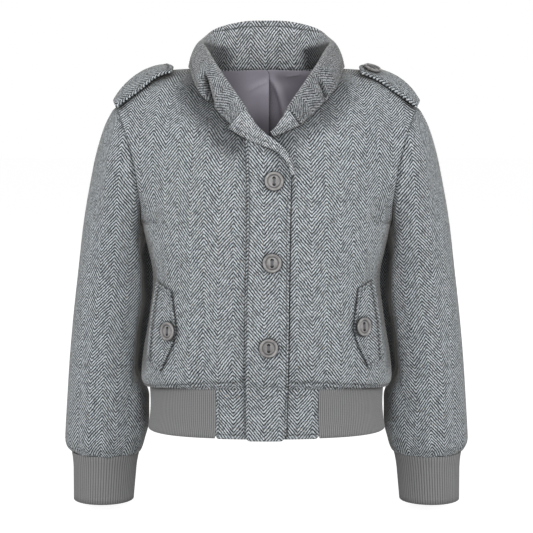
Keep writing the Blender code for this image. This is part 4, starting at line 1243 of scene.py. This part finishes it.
def add_placket(tweed):
    """Button placket laid on the right front, from the hem to the lapel."""
    columns, rows = grid_shares(*PLACKET_GRID)
    low = PLACKET_LOW * MM + rounded_corner(np.minimum(columns, 1 - columns) * PLACKET_WIDTH)
    straight = BODY[-1][UNDERARM_LEVEL + 1, 0, 2]
    below = np.minimum(low + (straight - low) * rows / PLACKET_STRAIGHT, straight)
    share = np.clip((rows - PLACKET_STRAIGHT) / (1 - PLACKET_STRAIGHT), 0, 1)
    z = below
    for _ in range(6):
        right = placket_edge("right_edge", z)
        x = right + (placket_edge("left_edge", z) - right) * columns
        z = below + (placket_top(x) - below) * share
    points = front_point(x, z, LAY_GAP * (1 + 2 * share) + PLACKET_SOLID)
    dark = darkest(seam_dark(points, "placket"),
                   *(button_shade(x, z, place, 0.65) for place in FRONT_BUTTONS))
    outer = add_cloth("placket", points, stack(x - PLACKET_CENTRE + STRIPE, z), PLACKET_WALL, tweed,
                      sewn_height(points, "placket", "first last", PLACKET_STITCH), dark,
                      stitched_band(points, "placket", "last", PLACKET_STITCH))
    sew(outer, "first last", PLACKET_STITCH)


def add_tab(side, tweed):
    """Hem tab between two x edges, flush with the rib."""
    first, last = np.array(TAB_EDGES[side]) * MM
    start, end = (across_at(x, (1.0,))[0] for x in (first, last))
    columns, rows = grid_shares(*TAB_GRID)
    level = -0.02 + (HEM_LEVEL - RIB_TOP_GAP + 0.02) * rows
    points = body_point(-1, start + (end - start) * columns, level)
    away = np.minimum(points[..., 0] - first, last - points[..., 0])
    points[..., 2] += rounded_corner(2 * away) / 2 * np.clip(1 - rows / 0.3, 0, 1)
    outside = "first" if side == "right" else "last"
    dark = seam_dark(points, "tab", outside)
    if side == "left":
        dark = darkest(dark, placket_dark(points))
    weave = stack(points[..., 0] - TAB_CENTRE[side] + STRIPE, points[..., 2])
    outer = add_cloth("hem_tab_" + side, points, weave, PLACKET_WALL, tweed,
                      sewn_height(points, "tab", "low", TAB_STITCH), dark,
                      stitched_band(points, "tab", "low " + outside, TAB_SIDE_STITCH))
    sew(outer, "low", TAB_STITCH)


def add_flap(side, sign, tweed):
    """Pointed pocket flap laid on a front."""
    columns, rows = grid_shares(*FLAP_GRID)
    corners = np.arange(len(FLAP_ROWS))
    position = (1 - rows) * corners[-1]
    root_x, root_z, free_x, free_z = (np.interp(position, corners, values) for values in FLAP.values())
    part = columns if sign < 0 else 1 - columns
    shift_x, shift_z = FLAP_SHIFT[side]
    x = sign * (root_x + (free_x - root_x) * part + shift_x * MM)
    z = root_z + (free_z - root_z) * part + shift_z * MM
    points = front_point(x, z, FLAP_GAP + FLAP_SOLID)
    loose = "last" if sign < 0 else "first"
    free = loose + " low high"
    dashes = smooth(np.sin(2 * math.pi * lengths(points, 0) / ROOT_PITCH), -0.6, 0.3)
    seam = np.exp(-(((root_x - free_x) * part - ROOT_SEAM) / ROOT_WIDTH) ** 2)
    # Painted shade along the edges and round the button, and a dashed dark line at the root seam
    dark = darkest(seam_dark(points, "flap", loose), 0.95 * seam * (0.35 + 0.65 * dashes),
                   button_shade(x, z, POCKET_BUTTONS[side], 0.6))
    outer = add_cloth("pocket_flap_" + side, points, stack(x, z) * FLAP_CLOSER, FLAP_WALL, tweed,
                      sewn_height(points, "flap", free, FLAP_STITCH), dark,
                      stitched_band(points, "flap", "first last low high", FLAP_STITCH))
    sew(outer, free, FLAP_STITCH)


def shoulder_point(x, across):
    """A point on the left shoulder: x along the seam, across towards the back, in metres."""
    parts = np.linspace(0, 1, 300)
    ridge = body_point(-1, parts, TOP_LEVEL)[:, 0]
    levels = np.linspace(TOP_LEVEL, TOP_LEVEL - 3, 60)
    result = []
    ways = []
    for one_x, one_across in zip(x, across):
        side = -1 if one_across < 0 else 1
        part = np.interp(one_x, ridge, parts)
        level = np.interp(abs(one_across), line_run(body_point(side, part, levels)), levels)
        result.append(body_point(side, part, level))
        ways.append(body_normal(side, part, min(level, TOP_LEVEL - 0.3)))
    return np.array(result), np.array(ways)


def strap_point(side, x, across):
    """Points on top of an epaulette, on the left shoulder."""
    points, ways = shoulder_point(x, across)
    part = np.clip((STRAP_OUTER_X * MM - x) / ((STRAP_OUTER_X - STRAP_INNER_X) * MM), 0, 1)
    lift = 3 * LAY_GAP + STRAP_SOLID + STRAP_RISE[side] * MM * np.clip(part * 1.5 - 0.5, 0, 1) ** 2
    lift += STRAP_ARCH[side] * MM * np.sin(math.pi * part ** 2)
    lift += STRAP_END_LIFT * MM * np.clip(1 - part / 0.3, 0, 1) ** 2
    return points + ways * lift[..., None]


def add_strap(side, sign, tweed):
    """Epaulette from the armhole seam to its pointed loose end, its edge puffed up by the sewing."""
    columns, rows = grid_shares(*STRAP_GRID)
    part = columns if sign < 0 else 1 - columns
    front = STRAP_FRONT_REACH + STRAP_FRONT_SPREAD * np.sin(np.clip(part / 0.45, 0, 1) * math.pi / 2)
    back = STRAP_BACK_REACH - STRAP_BACK_TAPER * part
    across = (-front + (front + back) * rows) * MM
    tip = STRAP_INNER_X + STRAP_TIP * np.abs(2 * rows - 1) ** 1.5
    x = (STRAP_OUTER_X + (tip - STRAP_OUTER_X) * part) * MM
    points = strap_point(side, x.ravel(), across.ravel()).reshape(*x.shape, 3) * (sign, 1, 1)
    weave = stack(lengths(points, 0) - STRAP_STITCH, lengths(points, 1))
    loose = "last" if sign < 0 else "first"
    free = loose + " low high"
    half = STRAP_STITCH / 2
    puff = 1.1 * MM * np.clip(1 - ((edge_distance(points, free) - half) / half) ** 2, 0, 1)
    outer = add_cloth("epaulette_" + side, points, weave, STRAP_WALL, tweed,
                      puff + sewn_height(points, "strap", free, STRAP_STITCH),
                      seam_dark(points, "strap", loose))
    sew(outer, free, STRAP_STITCH)


# Buttons and stitches


def turned_mesh(name, profile, sides):
    """An outline turned round the Z axis; its ends lie on the axis."""
    points = [(0, 0, profile[0][1])]
    for radius, height in profile[1:-1]:
        for turn in range(sides):
            angle = 2 * math.pi * turn / sides
            points.append((radius * math.cos(angle), radius * math.sin(angle), height))
    points.append((0, 0, profile[-1][1]))
    faces = []
    last = len(points) - 1
    rings = range(1, last - sides, sides)
    for turn in range(sides):
        after = (turn + 1) % sides
        faces.append((0, 1 + turn, 1 + after))
        for low in rings:
            faces.append((low + turn, low + sides + turn, low + sides + after, low + after))
        faces.append((last - sides + turn, last, last - sides + after))
    return filled_mesh(name, points, faces)


def button_mesh():
    """One two-hole button with a raised rim, lying on the origin, its face along +Z."""
    profile = [(radius * BUTTON_RADIUS, height * BUTTON_HEIGHT) for radius, height in BUTTON_PROFILE]
    body = add_object("button_work", turned_mesh("button_turned", profile, BUTTON_SIDES))
    cutters = bmesh.new()
    for side in (-1, 1):
        shift = Matrix.Translation((0, side * BUTTON_HOLE_SPACING / 2, 0))
        bmesh.ops.create_cone(cutters, cap_ends=True, segments=24, radius1=BUTTON_HOLE_RADIUS,
                              radius2=BUTTON_HOLE_RADIUS, depth=6 * BUTTON_HEIGHT, matrix=shift)
    hole_mesh = bpy.data.meshes.new("button_holes")
    cutters.to_mesh(hole_mesh)
    cutters.free()
    holes = add_object("button_holes", hole_mesh)
    pierce = body.modifiers.new("holes", "BOOLEAN")
    pierce.object = holes
    pierce.solver = "EXACT"
    graph = bpy.context.evaluated_depsgraph_get()
    pierced = bpy.data.meshes.new_from_object(body.evaluated_get(graph))
    bpy.data.objects.remove(body)
    bpy.data.objects.remove(holes)
    pierced.shade_smooth()
    pierced.set_sharp_from_angle(angle=BUTTON_SHARP)
    # Painted shade in the groove inside the rim
    layer = pierced.attributes.new("dark", "FLOAT", "POINT")
    for vertex, mark in zip(pierced.vertices, layer.data):
        share = vertex.co.xy.length / BUTTON_RADIUS
        if BUTTON_GROOVE[0] < share < BUTTON_GROOVE[1] and vertex.co.z > BUTTON_HEIGHT * 0.45:
            mark.value = 0.5
    return pierced


BUTTON_THREADS = []


def add_button(name, seat, out, mesh, look):
    """A button seated on a point, its face along a direction."""
    made = add_piece(name + "_turned", mesh.copy(), look, (name,))
    face = Vector(out)
    right = Vector((0, 0, 1)).cross(face)
    right = right.normalized() if right.length > 0.2 else Vector((0, 1, 0))
    up = face.cross(right).normalized()
    placed = Matrix((right, up, face)).transposed().to_4x4()
    placed.translation = Vector(seat)
    made.data.transform(placed)
    half = up * BUTTON_HOLE_SPACING / 2
    for offset in (-1, 0, 1):
        middle = placed @ Vector((offset * 1.6 * THREAD_RADIUS, 0, THREAD_HEIGHT))
        BUTTON_THREADS.append((np.array(middle - half), np.array(middle + half), np.array(face)))


def add_front_button(name, place, lay, mesh, look):
    """Button on the front at a place in millimetres, over a layer of given thickness."""
    across, level = front_place(*np.array(place) * MM)
    way = body_normal(-1, across, level)
    add_button(name, body_point(-1, across, level) + way * (lay + LAY_GAP), way, mesh, look)


def add_strap_button(side, sign, mesh, look):
    """Button on an epaulette, lying on the strap where it rests."""
    radius = 0.75 * BUTTON_RADIUS
    x = STRAP_BUTTON_X * MM
    across = STRAP_BUTTON_ACROSS * MM
    rim = strap_point(side, np.array((x - radius, x + radius, x, x)),
                      np.array((across, across, across - radius, across + radius)))
    way = unit(np.cross(rim[1] - rim[0], rim[3] - rim[2]))
    line = across + np.linspace(-1, 1, 7) * BUTTON_RADIUS
    heights = strap_point(side, np.full(7, x), line) @ way
    middle = rim.mean(axis=0)
    place = middle + way * (heights.max() - middle @ way + 2 * LAY_GAP)
    add_button("button_epaulette_" + side, place * (sign, 1, 1), way * (sign, 1, 1), mesh, look)


def add_dash(points, faces, start, end, out, radius):
    """One rounded dash of thread between two points, its middle raised."""
    side = np.cross(unit(end - start), out)
    ring = [(math.cos(turn * math.pi / 3), math.sin(turn * math.pi / 3)) for turn in range(6)]
    first = len(points)
    for part, size, lift in ((0, 0.35, -0.4), (0.25, 1, 0.55), (0.75, 1, 0.55), (1, 0.35, -0.4)):
        centre = start + (end - start) * part + out * radius * lift
        for across, high in ring:
            points.append((centre + (side * across + out * high) * radius * size).tolist())
    for low in range(first, first + 18, 6):
        for turn in range(6):
            after = (turn + 1) % 6
            faces.append((low + turn, low + after, low + 6 + after, low + 6 + turn))


def add_stitches(thread):
    """All lines of topstitching as short rounded dashes, and the thread in the buttons."""
    points = []
    faces = []
    for line, ways in STITCH_LINES:
        run = line_run(line)
        for place in np.arange(STITCH_PITCH / 2, run[-1] - STITCH_PITCH / 2, STITCH_PITCH):
            start, end = (line_at(place + sign * STITCH_LENGTH / 2, run, line) for sign in (-1, 1))
            add_dash(points, faces, start, end, unit(line_at(place, run, ways)), STITCH_RADIUS)
    for start, end, out in BUTTON_THREADS:
        add_dash(points, faces, start, end, out, THREAD_RADIUS)
    add_piece("topstitching", filled_mesh("topstitching", points, faces), thread)


# Materials


class Shader:
    """A material's node tree with short calls for its nodes."""

    def __init__(self, name):
        self.material = bpy.data.materials.new(name)
        self.material.use_nodes = True
        self.tree = self.material.node_tree
        self.principled = self.tree.nodes["Principled BSDF"]

    def feed(self, socket, value):
        """Link a socket into another one, or set it to a constant."""
        if isinstance(value, bpy.types.NodeSocket):
            self.tree.links.new(value, socket)
        else:
            socket.default_value = value

    def node(self, kind, **inputs):
        """Add a node and set or link its inputs by name."""
        made = self.tree.nodes.new(kind)
        for name, value in inputs.items():
            self.feed(made.inputs[name.replace("_", " ")], value)
        return made

    def math(self, operation, *values):
        """A number worked out from others."""
        made = self.tree.nodes.new("ShaderNodeMath")
        made.operation = operation
        for socket, value in zip(made.inputs, values):
            self.feed(socket, value)
        return made.outputs[0]

    def weave(self):
        """The cloth's own coordinates, across and along the grain."""
        layer = self.tree.nodes.new("ShaderNodeUVMap")
        layer.uv_map = "weave"
        split = self.node("ShaderNodeSeparateXYZ", Vector=layer.outputs["UV"])
        return layer.outputs["UV"], split.outputs["X"], split.outputs["Y"]

    def mark(self, name):
        """A share that is stored on the points of the mesh."""
        made = self.tree.nodes.new("ShaderNodeAttribute")
        made.attribute_name = name
        return made.outputs["Fac"]

    def noise(self, vector, scale, detail):
        """Soft noise between about 0 and 1."""
        return self.node("ShaderNodeTexNoise", Vector=vector, Scale=scale, Detail=detail).outputs["Fac"]

    def ramp(self, value, low, high):
        """Smooth step of a value between two limits."""
        made = self.node("ShaderNodeMapRange", Value=value, From_Min=low, From_Max=high)
        made.interpolation_type = "SMOOTHSTEP"
        return made.outputs["Result"]

    def mix(self, share, first, second):
        """Blend of two colours."""
        made = self.tree.nodes.new("ShaderNodeMix")
        made.data_type = "RGBA"
        self.feed(made.inputs["Factor"], share)
        self.feed(made.inputs[6], first)
        self.feed(made.inputs[7], second)
        return made.outputs[2]

    def shaded(self, colour, distance, power):
        """Paint shade into a colour: darker in narrow folds and beside raised edges, and where the mesh is
        marked dark.
        """
        made = self.node("ShaderNodeAmbientOcclusion", Distance=distance)
        made.samples = 6
        open_share = self.math("POWER", made.outputs["AO"], power)
        lit_share = self.math("SUBTRACT", 1.0, self.mark("dark"))
        return self.mix(self.math("MULTIPLY", open_share, lit_share), FOLD_SHADE, colour)

    def finish(self, colour, height=None, distance=0.0, strength=0.0, **inputs):
        """Connect colour and bump, and set plain shader values by name."""
        self.feed(self.principled.inputs["Base Color"], colour)
        if height is not None:
            bump = self.node("ShaderNodeBump", Height=height, Strength=strength, Distance=distance)
            self.feed(self.principled.inputs["Normal"], bump.outputs["Normal"])
        for name, value in inputs.items():
            self.principled.inputs[name.replace("_", " ")].default_value = value
        return self.material


def tweed_look(name, pitch, slope, light, reach, power):
    """Grey herringbone tweed: twill lines that turn at every stripe, uneven yarn and flecks, and painted
    shade in folds and where the mesh is marked dark.
    """
    shader = Shader(name)
    work = shader.math
    place, u, v = shader.weave()
    v = work("MULTIPLY_ADD", shader.noise(place, *DRIFT_NOISE), WEAVE_DRIFT, v)
    u = work("MULTIPLY_ADD", shader.noise(place, *SWAY_NOISE), WEAVE_SWAY, u)
    stripe = work("FLOOR", work("DIVIDE", u, STRIPE))
    inside = work("SUBTRACT", u, work("MULTIPLY", stripe, STRIPE))
    odd = work("FLOORED_MODULO", stripe, 2.0)
    turn = work("MULTIPLY_ADD", odd, -2.0 * slope, slope)
    pick = work("FLOOR", work("DIVIDE", inside, YARN))
    stepped = work("MULTIPLY_ADD", pick, 0.55 * YARN, work("MULTIPLY", inside, 0.45))
    rise = work("ADD", v, work("MULTIPLY", turn, stepped))
    phase = work("ADD", work("DIVIDE", rise, pitch), work("MULTIPLY", odd, 0.5))
    wave = work("ABSOLUTE", work("MULTIPLY_ADD", work("FRACT", phase), 2.0, -1.0))
    spot = shader.node("ShaderNodeCombineXYZ", X=work("MULTIPLY_ADD", stripe, 31.0, pick),
                       Y=work("FLOOR", work("ADD", phase, 0.5)))
    dash = shader.tree.nodes.new("ShaderNodeTexWhiteNoise")
    dash.noise_dimensions = "2D"
    shader.feed(dash.inputs["Vector"], spot.outputs["Vector"])
    yarn = shader.noise(place, *YARN_NOISE)
    band = shader.mark("band")
    broken = work("MULTIPLY_ADD", band, 3.0, 1.0)
    line = shader.ramp(work("MULTIPLY_ADD", work("SUBTRACT", yarn, 0.5), broken, wave), 0.34, 0.70)
    lit = work("MULTIPLY", line, work("MULTIPLY_ADD", dash.outputs["Value"], 0.85, 0.48))
    lit = work("MULTIPLY_ADD", work("MULTIPLY", band, 0.25), work("SUBTRACT", 0.6, lit), lit)
    mottle = work("SUBTRACT", shader.noise(place, *MOTTLE_NOISE), 0.5)
    colour = shader.mix(work("MULTIPLY_ADD", mottle, 0.5, lit), TWEED_DARK, light)
    for noise, fleck in ((TAN_NOISE, FLECK_TAN), (BLUE_NOISE, FLECK_BLUE)):
        share = shader.ramp(shader.noise(place, *noise), *FLECK_RANGE)
        colour = shader.mix(work("MULTIPLY", share, FLECK_SHARE), colour, fleck)
    return shader.finish(shader.shaded(colour, reach, power), work("MULTIPLY_ADD", yarn, 0.8, line),
                         0.4 * MM, 0.6, Roughness=0.95, Sheen_Weight=0.35, Sheen_Roughness=0.45,
                         Sheen_Tint=TWEED_FUZZ, Specular_IOR_Level=0.1)


def knit_look():
    """Grey rib knit with a fine stitch along each rib, and painted shade in the valleys between the ribs
    and in folds.
    """
    shader = Shader("rib_knit")
    work = shader.math
    _, u, v = shader.weave()
    across = work("ABSOLUTE", work("SUBTRACT", work("FRACT", u), 0.5))
    rise = work("ADD", work("DIVIDE", v, KNIT_STITCH), across)
    loop = work("ABSOLUTE", work("SUBTRACT", work("FRACT", rise), 0.5))
    share = shader.ramp(loop, 0.0, 0.5)
    ridge = shader.ramp(work("SUBTRACT", 0.5, across), 0.02, 0.36)
    colour = shader.mix(ridge, KNIT_VALLEY_SHADE, shader.mix(share, KNIT_MIDDLE, KNIT_LIGHT))
    return shader.finish(shader.shaded(colour, FOLD_REACH, 0.8), share, 0.3 * MM, 0.15, Roughness=0.95,
                         Sheen_Weight=0.2, Specular_IOR_Level=0.15)


def satin_look():
    """Grey mauve satin lining, with painted shade in its folds and where the mesh is marked dark."""
    shader = Shader("lining")
    soft = shader.noise(shader.weave()[0], 14.0, 2.0)
    colour = shader.mix(soft, SATIN_DARK, SATIN_LIGHT)
    return shader.finish(shader.shaded(colour, FOLD_REACH, 1.6), soft, 1.0 * MM, 0.3, Roughness=0.42,
                         Sheen_Weight=0.2, Specular_IOR_Level=0.4)


def horn_look():
    """Grey marbled button, with painted shade in its hollows and in the groove inside its rim."""
    shader = Shader("button")
    place = shader.tree.nodes.new("ShaderNodeTexCoord").outputs["Object"]
    marble = shader.noise(place, 170.0, 3.0)
    colour = shader.mix(shader.ramp(marble, 0.3, 0.7), HORN_DARK, HORN_LIGHT)
    return shader.finish(shader.shaded(colour, 6 * MM, 1.5), Roughness=0.36, Specular_IOR_Level=0.5)


# Floor, light and camera


def show_camera(tree, other, seen, output):
    """Show one shader to the camera and another one to all other rays."""
    rays = tree.nodes.new("ShaderNodeLightPath")
    choice = tree.nodes.new("ShaderNodeMixShader")
    tree.links.new(rays.outputs["Is Camera Ray"], choice.inputs["Fac"])
    tree.links.new(other.outputs[0], choice.inputs[1])
    tree.links.new(seen.outputs[0], choice.inputs[2])
    tree.links.new(choice.outputs["Shader"], tree.nodes[output].inputs["Surface"])


def add_floor():
    """Plain white floor below the cuffs that takes a faint shadow and throws back little light."""
    bpy.ops.mesh.primitive_plane_add(size=FLOOR_SIZE, location=(0, 0, FLOOR_HEIGHT))
    floor = bpy.context.object
    floor.name = "floor"
    shader = Shader("floor")
    shader.finish(FLOOR_COLOUR, Roughness=0.9, Emission_Strength=FLOOR_GLOW, Emission_Color=WHITE)
    dull = shader.node("ShaderNodeBsdfDiffuse", Color=FLOOR_BOUNCE)
    show_camera(shader.tree, dull, shader.principled, "Material Output")
    floor.data.materials.append(shader.material)


def add_world():
    """Soft light from all round, with a white backdrop behind the jacket."""
    world = bpy.data.worlds.new("studio")
    bpy.context.scene.world = world
    world.use_nodes = True
    tree = world.node_tree
    around = tree.nodes["Background"]
    backdrop = tree.nodes.new("ShaderNodeBackground")
    for node, strength in ((around, WORLD_STRENGTH), (backdrop, BACKDROP_STRENGTH)):
        node.inputs["Strength"].default_value = strength
        node.inputs["Color"].default_value = WHITE
    show_camera(tree, around, backdrop, "World Output")


def add_aimed(name, data, place, aim):
    """Add a light or a camera at a place, aimed at a point."""
    made = add_object(name, data)
    made.location = place
    made.rotation_euler = (Vector(aim) - Vector(place)).to_track_quat("-Z", "Y").to_euler()
    return made


def add_light(name, place, size, power):
    """Soft square light aimed at the jacket's middle."""
    lamp = bpy.data.lights.new(name, "AREA")
    lamp.shape = "SQUARE"
    lamp.size = size
    lamp.energy = power
    add_aimed(name, lamp, place, LIGHT_AIM)


def add_camera():
    """Camera at the photograph's viewing angle."""
    lens = bpy.data.cameras.new("camera")
    lens.lens = CAMERA_LENS
    lens.sensor_width = SENSOR_WIDTH
    bpy.context.scene.camera = add_aimed("camera", lens, CAMERA_PLACE, CAMERA_AIM)


def add_jacket():
    """Every piece of the jacket."""
    body_look = tweed_look("tweed", TWILL_PITCH, TWILL_SLOPE, TWEED_LIGHT, FOLD_REACH, 1.1)
    # The collar's tweed has its own pitch and slope, a light yarn painted brighter as painted light, and
    # painted shade that reaches further
    collar_look = tweed_look("tweed_collar", COLLAR_PITCH, COLLAR_SLOPE, COLLAR_PAINTED_LIGHT, COLLAR_REACH, 1.3)
    tweed = (body_look, "tweed")
    collar_tweed = (collar_look, "tweed")
    knit = (knit_look(), "rib_knit")
    horn = (horn_look(), "button")
    thread = (Shader("thread").finish(THREAD, Roughness=0.8), "tweed")
    add_fronts(tweed)
    add_back(tweed)
    add_lining((satin_look(), "lining"))
    add_hem_rib(knit)
    for side, sign in SIDES:
        add_sleeve(side, sign, tweed)
        add_cuff(side, sign, knit)
        add_flap(side, sign, tweed)
        add_strap(side, sign, tweed)
    add_tab("right", tweed)
    add_tab("left", tweed)
    add_placket(tweed)
    add_collar(collar_tweed)
    add_lapel("right", -1, RIGHT_LAPEL, RIGHT_LAPEL_END, PLACKET_SOLID + 3.5 * LAY_GAP, collar_tweed)
    add_lapel("left", 1, LEFT_LAPEL, LEFT_LAPEL_END, 0.0, collar_tweed)

    button = button_mesh()
    for number, place in enumerate(FRONT_BUTTONS, 1):
        add_front_button("button_front_%d" % number, place, PLACKET_SOLID + LAY_GAP, button, horn)
    for side, place in POCKET_BUTTONS.items():
        add_front_button("button_pocket_" + side, place, FLAP_GAP + FLAP_SOLID + LAY_GAP, button, horn)
    add_strap_button("left", 1, button, horn)
    add_stitches(thread)


add_jacket()
add_floor()
add_world()
for light in LIGHTS:
    add_light(*light)
add_camera()
bpy.context.scene.view_settings.view_transform = "Standard"
